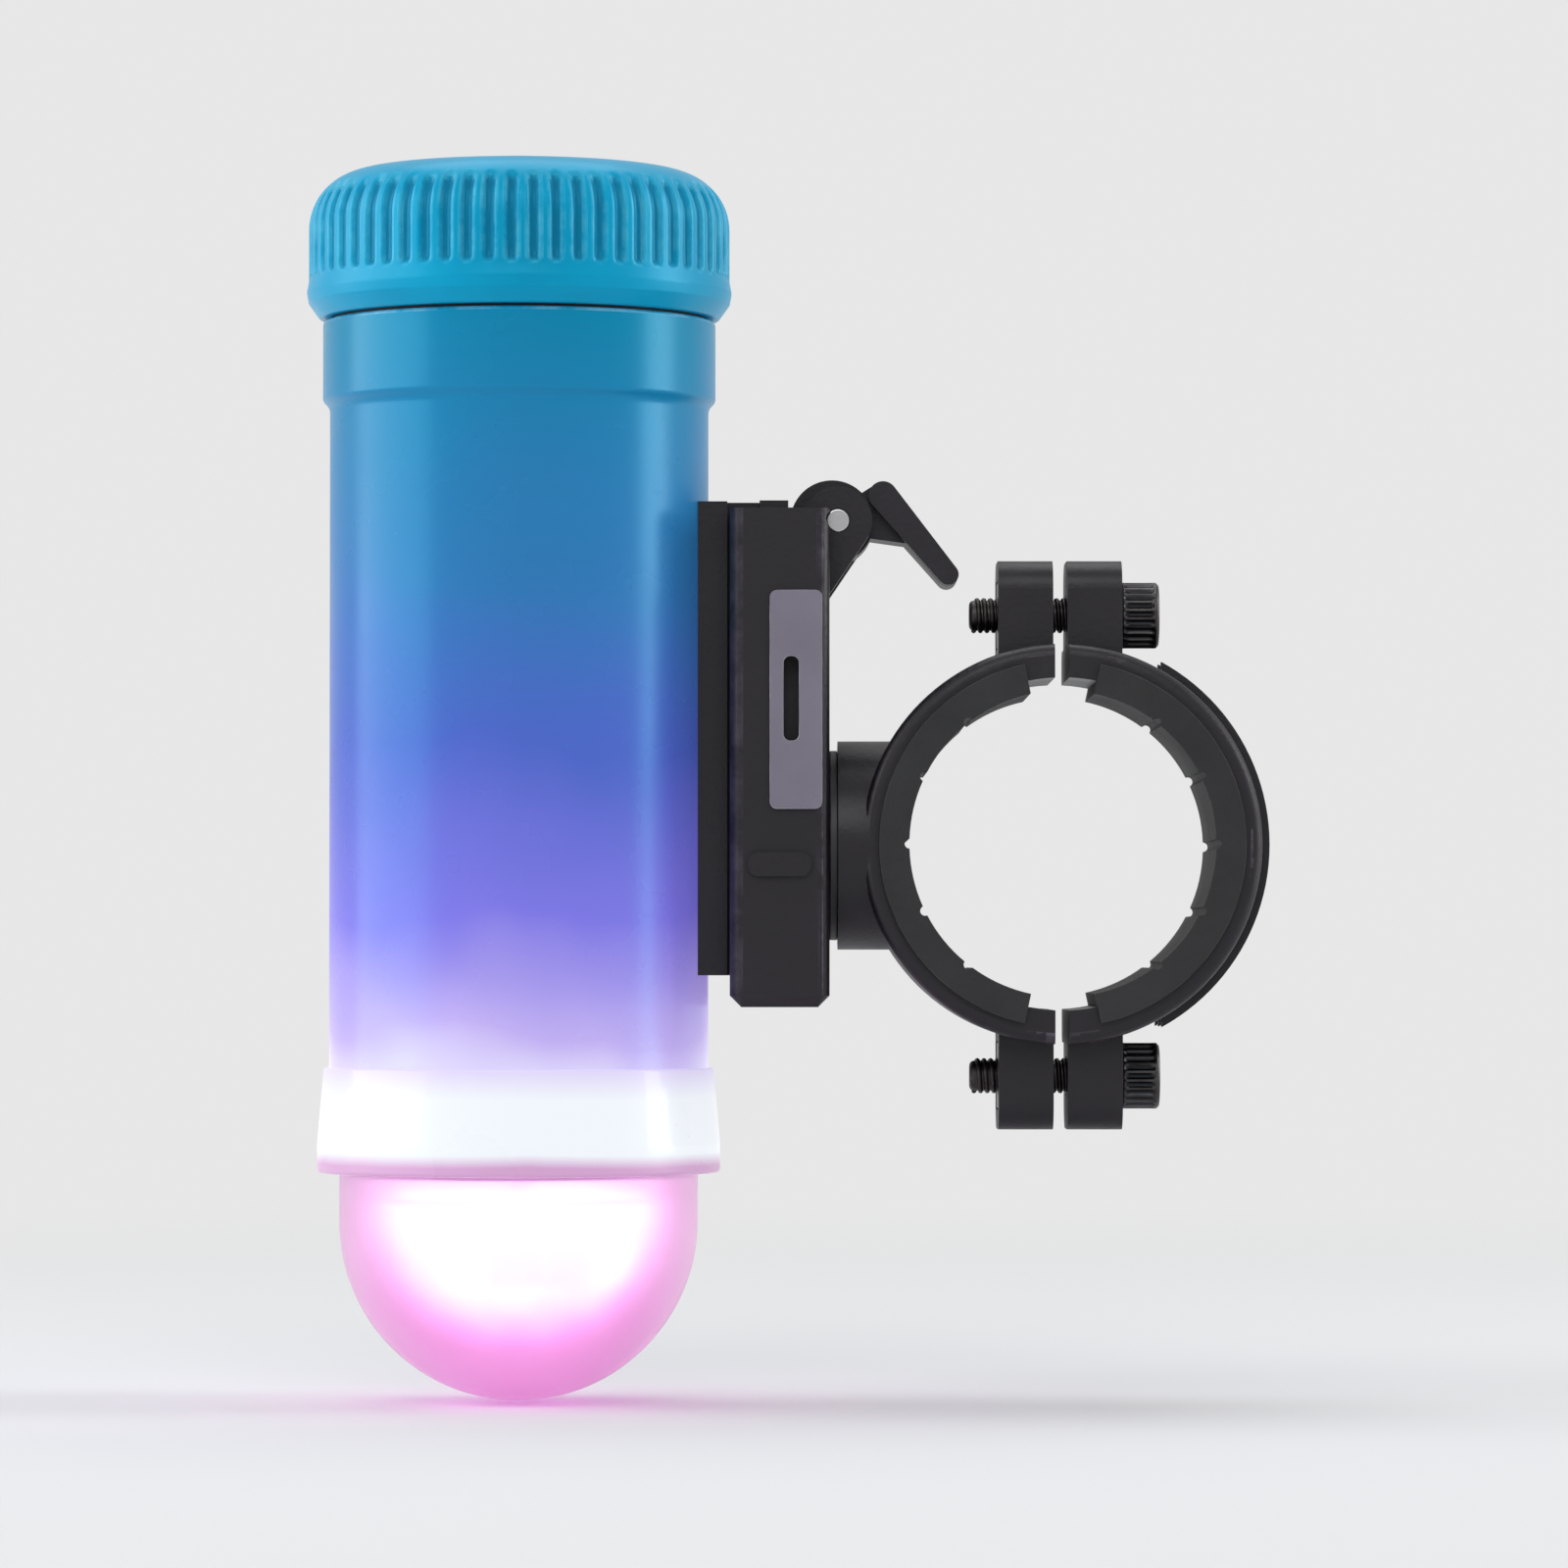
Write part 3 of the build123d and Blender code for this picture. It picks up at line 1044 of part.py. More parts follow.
def bracket_shoe():
    """The bracket: a channel for the rail, ears for the lever and a bore for the swivel."""
    depth = SHOE_BACK_X - SHOE_FRONT_X
    middle = (SHOE_BACK_X + SHOE_FRONT_X) / 2
    outline = Pos(middle, 0, SHOE_BOTTOM) * RectangleRounded(depth, 2 * SHOE_HALF_WIDTH, SHOE_CORNER)
    shoe = extrude(outline, SHOE_HEIGHT)
    shoe = chamfer(shoe.edges().group_by(Axis.Z)[0], SHOE_FOOT_CHAMFER)
    bar_x = (SHOE_FRONT_X + SIDE_BAR_INSET + SHOE_CORNER, SHOE_BACK_X - SIDE_BAR_INSET - SHOE_CORNER)
    bar = side_shape(
        bar_x[1] - bar_x[0] + SHOE_CORNER,
        SIDE_BAR_HEIGHT,
        SIDE_BAR_HEIGHT * 0.45,
        SIDE_BAR_PROUD + SHOE_CORNER,
        middle,
        SHOE_BOTTOM + SIDE_BAR_RISE,
    )
    bar_in = SHOE_HALF_WIDTH - SHOE_CORNER
    shoe += [Pos(0, bar_in, 0) * bar, Pos(0, -bar_in - SIDE_BAR_PROUD - SHOE_CORNER, 0) * bar]
    channel_half = RAIL_FLANGE_HALF_WIDTH + SLIDE_GAP
    mouth_half = RAIL_NECK_HALF_WIDTH + SLIDE_GAP
    height = (CHANNEL_LOW, SHOE_TOP + 1)
    shoe -= block((CHANNEL_FRONT_X, CHANNEL_BACK_X), (-channel_half, channel_half), height)
    shoe -= block((SHOE_FRONT_X - 1, CHANNEL_BACK_X), (-mouth_half, mouth_half), height)
    shoe += ears()
    cam_half = LEVER_HALF_WIDTH + SLIDE_GAP
    cam_low = PIN_Z - CAM_RADIUS - CAM_OFFSET - SLIDE_GAP
    cam_depth = (CHANNEL_BACK_X - SLIDE_GAP, PIN_X + 2 * EAR_RADIUS)
    shoe -= block(cam_depth, (-cam_half, cam_half), (cam_low, SHOE_TOP + 2 * EAR_RADIUS))
    shoe -= Pos(PIN_X, 0, PIN_Z) * ALONG_Y * disc(PIN_RADIUS + PIN_FIT, -2 * EAR_OUTER, 2 * EAR_OUTER)
    shoe -= ALONG_X * disc(SWIVEL_SCREW_RADIUS + BEARING_GAP, CHANNEL_BACK_X - 1, SHOE_BACK_X + 1)
    shoe -= ALONG_X * disc(SWIVEL_HEAD_RADIUS + SLIDE_GAP, CHANNEL_BACK_X - 1, HEAD_SEAT_X)
    recess = PLATE_THICKNESS - PLATE_PROUD
    seat = SHOE_HALF_WIDTH - recess
    cutter = plate_cutter(FACE_GAP, 2 * PLATE_THICKNESS)
    shoe -= [Pos(0, seat, 0) * cutter, Pos(0, -seat - 2 * PLATE_THICKNESS, 0) * cutter]
    slot = window(WINDOW_DEPTH + 1)
    shoe -= [Pos(0, seat - WINDOW_DEPTH, 0) * slot, Pos(0, -seat - 1, 0) * slot]
    return shoe


def side_plate(side):
    """The pale plate in the shoe's side, with its window."""
    seat = SHOE_HALF_WIDTH - PLATE_THICKNESS + PLATE_PROUD + FACE_GAP
    plate = plate_cutter(0.0, PLATE_THICKNESS) - Pos(0, -1, 0) * window(PLATE_THICKNESS + 2)
    low = seat if side > 0 else -seat - PLATE_THICKNESS
    return Pos(0, low, 0) * plate


def at_pin(offset, radius):
    """A circle at an offset from the lever's pin, in the lever's plane."""
    return Pos(PIN_X + offset[0], PIN_Z + offset[1]) * Circle(radius)


def cam_lever():
    """The lever: an eccentric cam on the pin, a web, and a thumb plate wider than the web."""
    top = at_pin(HANDLE_TOP, HANDLE_TOP_RADIUS)
    tip = at_pin(HANDLE_TIP, HANDLE_TIP_RADIUS)
    web_end = at_pin(HANDLE_WEB, HANDLE_WEB_RADIUS)
    cam = at_pin((-CAM_OFFSET, 0), CAM_RADIUS)
    web = make_hull((at_pin((0, 0), PIN_RADIUS) + top + web_end).edges())
    lever = extrude(Plane.XZ * cam, LEVER_HALF_WIDTH, both=True)
    lever += extrude(Plane.XZ * web, LEVER_HALF_WIDTH, both=True)
    lever += extrude(Plane.XZ * make_hull((top + tip).edges()), HANDLE_HALF_WIDTH, both=True)
    bore = disc(PIN_RADIUS + BEARING_GAP, -EAR_OUTER, EAR_OUTER)
    return lever - Pos(PIN_X, 0, PIN_Z) * ALONG_Y * bore


def lever_pin():
    """The pin through the ears and the lever."""
    return Pos(PIN_X, 0, PIN_Z) * ALONG_Y * disc(PIN_RADIUS, -EAR_OUTER, EAR_OUTER)


PIECES = {
    "body_tube": body_tube(),
    "tube_rail": tube_rail(),
    "rail_screws": rail_screws(),
    "bezel_ring": bezel_ring(),
    "lens_seal": lens_seal(),
    "dome_lens": dome_lens(),
    "pattern_lens": pattern_lens(),
    "motor_shaft": motor_shaft(),
    "motor_can": motor_can(),
    "motor_endbell": motor_endbell(),
    "motor_terminals": motor_terminals(),
    "chassis": chassis(),
    "led_board": led_board(),
    "leds": leds(),
    "led_screws": led_screws(),
    "reflector_ring": reflector_ring(),
    "driver_board": driver_board(),
    "board_spring": board_spring(),
    "battery_sleeve": battery_sleeve(),
    "contact_strip": contact_strip(),
    "carrier_frame": carrier_frame(),
    "battery_cell_1": battery_cell(0),
    "battery_cell_2": battery_cell(1),
    "battery_cell_3": battery_cell(2),
    "carrier_contacts": carrier_contacts(),
    "carrier_springs": carrier_springs(),
    "end_cap": end_cap(),
    "cap_seal": cap_seal(),
    "button_key": button_key(),
    "switch_plunger": switch_plunger(),
    "switch_housing": switch_housing(),
    "switch_board": switch_board(),
    "switch_screws": switch_screws(),
    "cap_contact_ring": cap_contact_ring(),
    "cap_spring": cap_spring(),
    "bracket_shoe": bracket_shoe(),
    "side_plate_left": side_plate(-1),
    "side_plate_right": side_plate(1),
    "cam_lever": cam_lever(),
    "lever_pin": lever_pin(),
    "swivel_washer": swivel_washer(),
    "swivel_screw": swivel_screw(),
    "swivel_nut": swivel_nut(),
    "clamp_base": clamp_base(),
    "clamp_cap": clamp_cap(),
    "pad_front": pad(-1),
    "pad_rear": pad(1),
    "clamp_screw_upper": clamp_screw(SCREW_Z),
    "clamp_screw_lower": clamp_screw(-SCREW_Z),
    "clamp_nuts": clamp_nuts(),
}

os.makedirs("parts", exist_ok=True)
for name, piece in PIECES.items():
    solids = piece if isinstance(piece, list) else [piece]
    export_step(Compound(children=solids), f"parts/{name}.step")
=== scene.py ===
import math
import random
import bmesh
import bpy
from mathutils import Matrix, Vector
from mathutils.bvhtree import BVHTree
from mathutils.interpolate import poly_3d_calc


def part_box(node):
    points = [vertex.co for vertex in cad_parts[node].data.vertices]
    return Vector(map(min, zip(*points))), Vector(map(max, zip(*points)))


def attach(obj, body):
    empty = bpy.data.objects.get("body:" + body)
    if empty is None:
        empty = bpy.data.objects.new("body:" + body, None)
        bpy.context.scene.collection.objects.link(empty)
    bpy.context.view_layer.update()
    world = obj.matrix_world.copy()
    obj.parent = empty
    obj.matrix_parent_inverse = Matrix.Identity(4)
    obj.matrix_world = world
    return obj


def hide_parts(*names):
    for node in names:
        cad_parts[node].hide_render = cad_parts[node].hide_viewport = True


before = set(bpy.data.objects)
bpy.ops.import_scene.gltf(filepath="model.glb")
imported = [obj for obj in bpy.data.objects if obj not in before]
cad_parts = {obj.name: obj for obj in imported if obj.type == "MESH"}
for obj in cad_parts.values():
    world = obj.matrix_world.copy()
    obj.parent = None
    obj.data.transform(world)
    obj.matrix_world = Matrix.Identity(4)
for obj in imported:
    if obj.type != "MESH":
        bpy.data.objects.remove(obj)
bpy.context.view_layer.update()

bl_info = {
    "name": "Tubular Bike Light",
    "version": (1, 0, 0),
    "blender": (4, 5, 0),
    "location": "View3D > Sidebar > Bike Light",
    "description": "Dresses a tubular bike light and its bracket, and sets up the studio",
    "category": "Object",
}

MM = 0.001
FLOOR = -58.8  # height of the studio floor, just under the dome, in millimetres
BACKDROP = 0.8  # how bright the backdrop looks, where 1 is white
DRAWN = (60.0, 6000.0, 6000.0)  # how a metal's fine lines are stretched
LIGHT_X = (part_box("dome_lens")[0].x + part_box("dome_lens")[1].x) / 2  # the light's axis, in metres

# Radii round the light's axis, in millimetres
TUBE_RADIUS = 19.9935
TUBE_BORE = 17.7935
COLLAR_RADIUS = 20.7435
NECK_RADIUS = 18.2935
NECK_BORE = 16.3935
LEDGE_BORE = 16.0935
CAP_BORE = 19.1935
CAP_RADIUS = 22.2435
CAP_SEAT_RADIUS = 19.8935
POST_BORE = 10.0
POST_RADIUS = 12.2
KEY_HOLE = 7.2
BEZEL_BORE = 20.0935
BEZEL_RADIUS = 21.2435
DOME_RADIUS = 18.8935
DOME_WALL = 1.8
CELL_CIRCLE = 6.8935
LAMP_CIRCLE = 12.0
LED_SCREW_CIRCLE = 7.2
CELL_END = 4.6
RAIL_SCREW_HOLE = 1.5

# Heights on the light's axis, in millimetres
TUBE_END = -31.4
RAIL_SCREWS = (-6.7, 29.0)
COLLAR_LOW = 46.9
COLLAR_TOP = 55.3
NECK_TOP = 67.1
LEDGE_LOW = 3.05
NECK_THREAD_LOW = 57.4
CAP_THREAD_LOW = 58.9
CAP_LOW = 55.6
CAP_SEAT = 57.0
BEAD_LOW = 57.2
BEAD_TOP = 59.5
FLUTES_TOP = 69.3
CAP_SHOULDER = 71.2
CAP_CROWN_EDGE = 6.2
CAP_CEILING = 69.5
POST_END = 64.8
BEZEL_TOP = -23.4
BEZEL_LOW = -34.45
BEZEL_LIP_TOP = -33.55
DOME_TOP = -32.3
DOME_FLANGE_LOW = -33.5
DOME_CENTRE = -39.6
DOME_TIP = -58.6
LAMP_TOP = -32.15
CARRIER_FLOOR = 10.65
CARRIER_TOP = 57.65

# Outlines as (radius, height, rounding), in millimetres
CAP_TOP_RINGS = (
    (14.0, 71.42), (11.0, 71.64, 1.0), (9.4, 71.8, 0.2), (9.1, 71.62, 0.1), (8.7, 71.62, 0.1),
    (8.4, 71.86, 0.2),
)
KEY_OUTLINE = (
    (0.0, 69.4), (5.2, 69.4, 0.1), (5.2, 68.35, 0.1), (8.6, 68.35, 0.15), (8.6, 69.25, 0.15),
    (7.0, 69.25, 0.1), (7.0, 72.3, 0.7), (5.6, 72.4, 0.15), (5.35, 72.2, 0.1), (5.05, 72.2, 0.1),
    (4.8, 72.44, 0.15), (0.0, 72.6),
)
LED_SCREW_OUTLINE = (
    (0.0, -32.75), (0.45, -32.75), (0.55, -33.2, 0.05), (1.25, -33.15, 0.3), (1.35, -32.2, 0.05),
    (0.8, -32.2), (0.8, -27.05, 0.2), (0.0, -26.95),
)

# Lamps and their lenses, in millimetres
LAMP_HALF = 2.5
LAMP_NARROW_HALF = 2.3
LAMP_STEP = 1.1
LAMP_HEIGHT = 1.6
LENS_RADIUS = 1.9
LENS_RISE = 0.9
LENS_FOOT = 1.35

# Springs, with lengths in millimetres
SPRING_WIDE = 3.6
SPRING_NARROW = 2.2
SPRING_TURNS = 4.5
CELL_SPRING = 2.5

# Threads, in turns
NECK_TURNS = 2.75
CAP_TURNS = 2.5

# Clamp screws, in millimetres
SCREW_HEIGHT = 24.3
HEAD_RADIUS = 3.5
HEAD_HEIGHT = 4.0
SCREW_LENGTH = 16.0
SCREW_CORE = 1.6
SCREW_OUTER = 1.89
SOCKET_RADIUS = 1.73
SOCKET_DEPTH = 2.2

# Camera, in metres and, for the lens and its sensor, millimetres
CAMERA_SPOT = (-0.029, -0.75, -0.012)
CAMERA_AIM = (-0.029, 0.0, 0.0065)
FOCAL_LENGTH = 163.0
SENSOR_WIDTH = 36.0


def shade(red, green, blue):
    """A colour written as on a screen, from 0 to 255, as the linear colour that Blender keeps."""
    return tuple(
        part / 255 / 12.92 if part <= 10 else ((part / 255 + 0.055) / 1.055) ** 2.4
        for part in (red, green, blue)
    )


def length(name, description, millimetres):
    """A size that a user may change."""
    return bpy.props.FloatProperty(
        name=name, description=description, default=millimetres * MM, min=0.0, precision=5,
        subtype="DISTANCE", unit="LENGTH",
    )


def colour(name, description, red, green, blue):
    """A colour that a user may change."""
    return bpy.props.FloatVectorProperty(
        name=name, description=description, default=shade(red, green, blue), min=0.0, max=1.0,
        size=3, subtype="COLOR",
    )


class LightSizes(bpy.types.PropertyGroup):
    """Sizes of the details that Blender adds."""

    flutes: bpy.props.IntProperty(
        name="Flutes", description="Upright grooves round the cap", default=60, min=12, max=90
    )
    flute_radius: length("Flute radius", "Radius of the cutter that made each groove", 0.62)
    flute_rounding: length("Flute rounding", "How softly each groove meets the cap's side", 0.22)
    thread_pitch: length("Thread pitch", "Rise of the cap's thread in one turn", 3.0)
    thread_ridge: length("Thread ridge", "Radius of the neck's round thread ridge", 0.62)
    screw_pitch: length("Screw pitch", "Rise of the clamp screws' threads in one turn", 0.7)
    spring_wire: length("Spring wire", "Radius of the contact springs' wire", 0.28)
    edge_bevel: length("Edge bevel", "Rounding along the moulded edges of the bracket", 0.3)


class LightColours(bpy.types.PropertyGroup):
    """Colours of the light and its bracket."""

    # the tube's colours from the middle down are painted lamp glow rather than the plastic's own colour
    tube_top: colour("Tube, top", "Tube under the cap", 8, 130, 170)
    tube_middle: colour("Tube, middle", "Tube at the bracket's height", 80, 102, 202)
    tube_violet: colour("Tube, violet", "Tube below the bracket", 130, 120, 232)
    tube_low: colour("Tube, low", "Tube over the lens end", 198, 178, 246)
    tube_end: colour("Tube, end", "Tube where the lamp shines through it", 228, 218, 253)
    sheen: colour("Sheen", "Tint of the light that the teal plastic reflects", 110, 222, 255)
    cap: colour("Cap", "Moulded screw cap", 6, 146, 186)
    key: colour("Button", "Soft button in the cap", 12, 104, 142)
    bezel: colour("Bezel", "Ring round the lens", 244, 249, 255)
    rim: colour("Rim", "Lower edge of the ring round the lens", 216, 168, 212)
    dome: colour("Dome", "Tint of the clear dome", 245, 200, 235)
    glow: colour("Glow", "Light of the dome's edge and tip", 240, 158, 224)
    moulded: colour("Moulded black", "Bracket, rail and clamp", 22, 18, 26)
    plate: colour("Side plate", "Slotted plates in the bracket's sides", 122, 116, 130)
    rubber: colour("Rubber", "Clamp pads and seals", 30, 30, 32)
    board: colour("Circuit board", "Solder mask of the boards", 20, 96, 58)


def sizes():
    return bpy.context.scene.bike_light_sizes


def colours():
    return bpy.context.scene.bike_light_colours


# Node wiring

SIGNS = {"+": "ADD", "-": "SUBTRACT", "*": "MULTIPLY", "/": "DIVIDE", "*+": "MULTIPLY_ADD"}
SOCKETS = {float: "Float", int: "Int", tuple: "Vector"}
GROUPS = {}


class Net:
    """A node tree, wired one node at a time."""

    def __init__(self, tree, material=None):
        self.tree, self.material = tree, material

    def feed(self, socket, value):
        """Link a socket to another node's output, or set its plain value."""
        if isinstance(value, bpy.types.NodeSocket):
            self.tree.links.new(value, socket)
        else:
            socket.default_value = (*value[:3], 1.0) if socket.type == "RGBA" else value

    def node(self, kind, inputs=None, **settings):
        made = self.tree.nodes.new(kind)
        for name, value in settings.items():
            setattr(made, name, value)
        for key, value in (inputs or {}).items():
            self.feed(made.inputs[key], value)
        return made

    def get(self, kind, inputs=None, output=0, **settings):
        """An output of a new node, the first unless another is named."""
        return self.node(kind, inputs, **settings).outputs[output]

    def __call__(self, sign, *values, clamp=False):
        """A value worked out from others. The sign *+ is the first times the second, plus the third."""
        made = self.node("ShaderNodeMath", operation=SIGNS.get(sign, sign), use_clamp=clamp)
        for socket, value in zip(made.inputs, values):
            self.feed(socket, value)
        return made.outputs[0]

    def vector(self, operation, first, second):
        return self.get("ShaderNodeVectorMath", {0: first, 1: second}, operation=operation)

    def apart(self, vector):
        """The X, Y and Z of a vector."""
        return self.node("ShaderNodeSeparateXYZ", {0: vector}).outputs

    def where(self):
        """Object coordinates."""
        return self.get("ShaderNodeTexCoord", output="Object")

    def height(self, where):
        """Height in millimetres, from Object coordinates."""
        return self("*", self.apart(where)["Z"], 1000.0)

    def stored(self, name):
        """A value that the mesh keeps."""
        return self.get("ShaderNodeAttribute", output="Fac", attribute_name=name)

    def span(self, value, low, high, to_low=0.0, to_high=1.0, smooth=False):
        """Map a value from one span to another, held at the ends."""
        kind = "SMOOTHSTEP" if smooth else "LINEAR"
        inputs = {"Value": value, "From Min": low, "From Max": high, "To Min": to_low, "To Max": to_high}
        return self.get("ShaderNodeMapRange", inputs, "Result", interpolation_type=kind)

    def ramp(self, value, stops, interpolation="LINEAR"):
        """A colour ramp from a list of (place, colour)."""
        made = self.node("ShaderNodeValToRGB", {"Fac": value})
        made.color_ramp.interpolation = interpolation
        elements = made.color_ramp.elements
        while len(elements) < len(stops):
            elements.new(0.5)
        for element, (place, tone) in zip(elements, stops):
            element.position = place
            element.color = (*tone[:3], 1.0)
        return made.outputs["Color"]

    def blend(self, share, first, second, mode="MIX"):
        """Mix two colours."""
        inputs = {0: share, 6: first, 7: second}
        return self.get("ShaderNodeMix", inputs, 2, data_type="RGBA", blend_type=mode)

    def noise(self, where, scale, detail=2.0, roughness=0.5):
        inputs = {"Vector": where, "Scale": scale, "Detail": detail, "Roughness": roughness}
        return self.get("ShaderNodeTexNoise", inputs, "Fac")

    def vary(self, where, scale, low, high, detail=2.0):
        """A value that wanders between two limits."""
        return self.span(self.noise(where, scale, detail), 0.3, 0.7, low, high)

    def bump(self, height, millimetres):
        return self.get("ShaderNodeBump", {"Height": height, "Distance": millimetres * MM}, "Normal")

    def tidy(self):
        """Set the nodes out in columns, from the inputs at the left to the output at the right."""
        depth = {}

        def reach(node, steps):
            if depth.get(node, -1) < steps:
                depth[node] = steps
                for socket in node.inputs:
                    for link in socket.links:
                        reach(link.from_node, steps + 1)

        for node in self.tree.nodes:
            if not any(socket.is_linked for socket in node.outputs):
                reach(node, 0)
        rows = {}
        for node, steps in depth.items():
            row = rows.get(steps, 0)
            node.location = (-240 * steps, -260 * row)
            rows[steps] = row + 1


def spaced(inputs):
    """Socket names from argument names."""
    return {name.replace("_", " "): value for name, value in inputs.items()}


def node_group(name, inputs, outputs):
    """Keep the function that wires a group. An input has its default value, or only its socket's type."""

    def keep(wire):
        GROUPS[name] = inputs, outputs, wire
        return wire

    return keep


def group(name):
    """A node group with named sockets, built the first time it is asked for."""
    tree = bpy.data.node_groups.get(name)
    if tree:
        return tree
    inputs, outputs, wire = GROUPS[name]
    tree = bpy.data.node_groups.new(name, "GeometryNodeTree" if "Geometry" in outputs else "ShaderNodeTree")
    for side, sockets in (("INPUT", inputs), ("OUTPUT", outputs)):
        for label, given in sockets.items():
            kind = given if isinstance(given, str) else SOCKETS[type(given)]
            socket = tree.interface.new_socket(label, in_out=side, socket_type="NodeSocket" + kind)
            if kind != given:
                socket.default_value = given
    net = Net(tree)
    net.node("NodeGroupOutput", wire(net, net.node("NodeGroupInput").outputs))
    net.tidy()
    return tree


# Effects that several finishes share


@node_group("Moulded grain", {"Grain": 3200.0, "Unevenness": 90.0}, {"Height": "Float", "Mottle": "Float"})
def moulded_grain(net, given):
    """Fine spark-eroded grain of a mould, over slow unevenness."""
    where = net.where()
    pits = net("POWER", net.noise(where, given["Grain"], 2.0, 0.6), 1.6)
    slow = net.noise(where, given["Unevenness"], 3.0, 0.55)
    return {"Height": net("*+", slow, 0.25, pits), "Mottle": slow}


@node_group(
    "Worn edges and groove shade", {"Colour": "Color", "Worn colour": "Color", "Wear": 0.6},
    {"Colour": "Color", "Mask": "Float"},
)
def worn_edges_and_groove_shade(net, given):
    """Paler, smoother edges where hands and the bag have rubbed them, on the black moulding partly a painted
    highlight along the rims, and painted shade that darkens the grooves.
    """
    where = net.where()
    patches = net.span(net.noise(where, 260.0, 4.0, 0.65), 0.38, 0.66)
    scuffs = net.span(net.noise(where, 110.0, 6.0, 0.62), 0.62, 0.86, smooth=True)
    rubbed = net("*", net("*", net.stored("edge"), patches), given["Wear"])
    mask = net("*+", scuffs, net("*", given["Wear"], 0.12), rubbed, clamp=True)
    # painted shade: the colour is darkened in the grooves, where shade falls
    groove = net("*", net.stored("groove"), net.vary(where, 420.0, 0.75, 1.0))
    painted_groove_shade = net.blend(groove, given["Colour"], (0.3, 0.4, 0.45), "MULTIPLY")
    return {"Colour": net.blend(mask, painted_groove_shade, given["Worn colour"]), "Mask": mask}


@node_group(
    "Handling", {"Roughness": 0.4, "Spread": 0.12, "Scratches": 0.3},
    {"Roughness": "Float", "Scratch height": "Float"},
)
def handling(net, given):
    """Roughness that varies as on a piece that is often handled: smears, and a few fine scratches."""
    where = net.where()
    smears = net.span(net.noise(where, 55.0, 4.0, 0.6), 0.3, 0.7, -1.0, 1.0)
    turned = net.get("ShaderNodeMapping", {
        "Vector": where, "Rotation": (0.5, 0.35, 0.9), "Scale": (40.0, 900.0, 900.0),
    })
    lines = net.span(net.noise(turned, 1.0), 0.7, 0.74)
    broken = net("*", lines, net.span(net.noise(where, 120.0, 1.0), 0.5, 0.62))
    scratch = net("*", broken, given["Scratches"])
    rough = net("*+", scratch, 0.2, net("*+", smears, given["Spread"], given["Roughness"]), clamp=True)
    return {"Roughness": rough, "Scratch height": net("*", scratch, -1.0)}


@node_group(
    "Drawn lines", {"Stretch": DRAWN, "Roughness": 0.3},
    {"Roughness": "Float", "Height": "Float", "Tone": "Float"},
)
def drawn_lines(net, given):
    """Fine lines along one direction, as on drawn, turned or rolled metal."""
    where = net.where()
    lines = net.noise(net.vector("MULTIPLY", where, given["Stretch"]), 1.0, 3.0, 0.6)
    patina = net.noise(where, 160.0, 4.0, 0.6)
    rough = net("+", net.span(lines, 0.3, 0.7, -0.08, 0.08), given["Roughness"])
    rough = net("+", net.span(patina, 0.35, 0.7, -0.04, 0.12), rough, clamp=True)
    tone = net.span(net("*+", lines, 0.5, net("*", patina, 0.5)), 0.3, 0.7)
    return {"Roughness": rough, "Height": lines, "Tone": tone}


def effect(net, name, **inputs):
    """Place a shared effect in a material."""
    return net.node("ShaderNodeGroup", spaced(inputs), node_tree=group(name)).outputs


# Finishes


def new_finish(name):
    """The wiring of a new, empty material."""
    material = bpy.data.materials.new(name)
    material.use_nodes = True
    material.node_tree.nodes.clear()
    return Net(material.node_tree, material)


def surface(net, inputs):
    """The material, once its Principled shader and output are in place."""
    net.node("ShaderNodeOutputMaterial", {"Surface": net.get("ShaderNodeBsdfPrincipled", inputs)})
    net.tidy()
    return net.material


def plastic(name, tone, worn, roughness, spread, grain, relief, wear=0.6, mottle=0.08, shine=0.5,
            tint=(1.0, 1.0, 1.0), painted_glow=(1.0, 1.0, 1.0), painted_glow_strength=0.0):
    """A moulded plastic or rubber, with grain, worn edges, painted shade in grooves, handling marks and,
    where one is given, a painted glow.
    """
    net = new_finish(name)
    grained = effect(net, "Moulded grain", Grain=grain)
    cloudy = net.ramp(grained["Mottle"], [
        (0.3, [part * (1 - mottle * 1.6) for part in tone]),
        (0.7, [min(1.0, part * (1 + mottle * 1.6)) for part in tone]),
    ])
    worn_and_groove_shaded = effect(net, "Worn edges and groove shade", Colour=cloudy, Worn_colour=worn, Wear=wear)
    handled = effect(net, "Handling", Roughness=roughness, Spread=spread, Scratches=0.3)
    height = net("*+", handled["Scratch height"], 0.5, grained["Height"])
    return surface(net, {
        "Base Color": worn_and_groove_shaded["Colour"], "Normal": net.bump(height, relief),
        "Roughness": net("*+", worn_and_groove_shaded["Mask"], -0.1, handled["Roughness"], clamp=True),
        "Specular IOR Level": shine, "Specular Tint": tint,
        "Emission Color": painted_glow, "Emission Strength": painted_glow_strength,
    })


def metal(name, tone, roughness, stretch=DRAWN, tarnish=None, amount=0.3):
    """A metal with drawn or turned lines and a little tarnish."""
    net = new_finish(name)
    lines = effect(net, "Drawn lines", Stretch=stretch, Roughness=roughness)
    tarnish = tarnish or [part * 0.72 for part in tone]
    shaded = net.blend(net("*", lines["Tone"], amount), tone, tarnish)
    worn = [min(1.0, part * 1.15 + 0.05) for part in tone]
    worn_and_groove_shaded = effect(net, "Worn edges and groove shade", Colour=shaded, Worn_colour=worn, Wear=0.7)
    return surface(net, {
        "Base Color": worn_and_groove_shaded["Colour"], "Metallic": 1.0, "Roughness": lines["Roughness"],
        "Normal": net.bump(lines["Height"], 0.004),
    })


def lit(net, place, stops):
    """What a surface shows by daylight and what shines through it, from (place, colour, lit share)."""
    daylight = [(spot, [part * (1.0 - share) for part in tone]) for spot, tone, share in stops]
    shining = [(spot, [part * share for part in tone]) for spot, tone, share in stops]
    return net.ramp(place, daylight), net.ramp(place, shining)


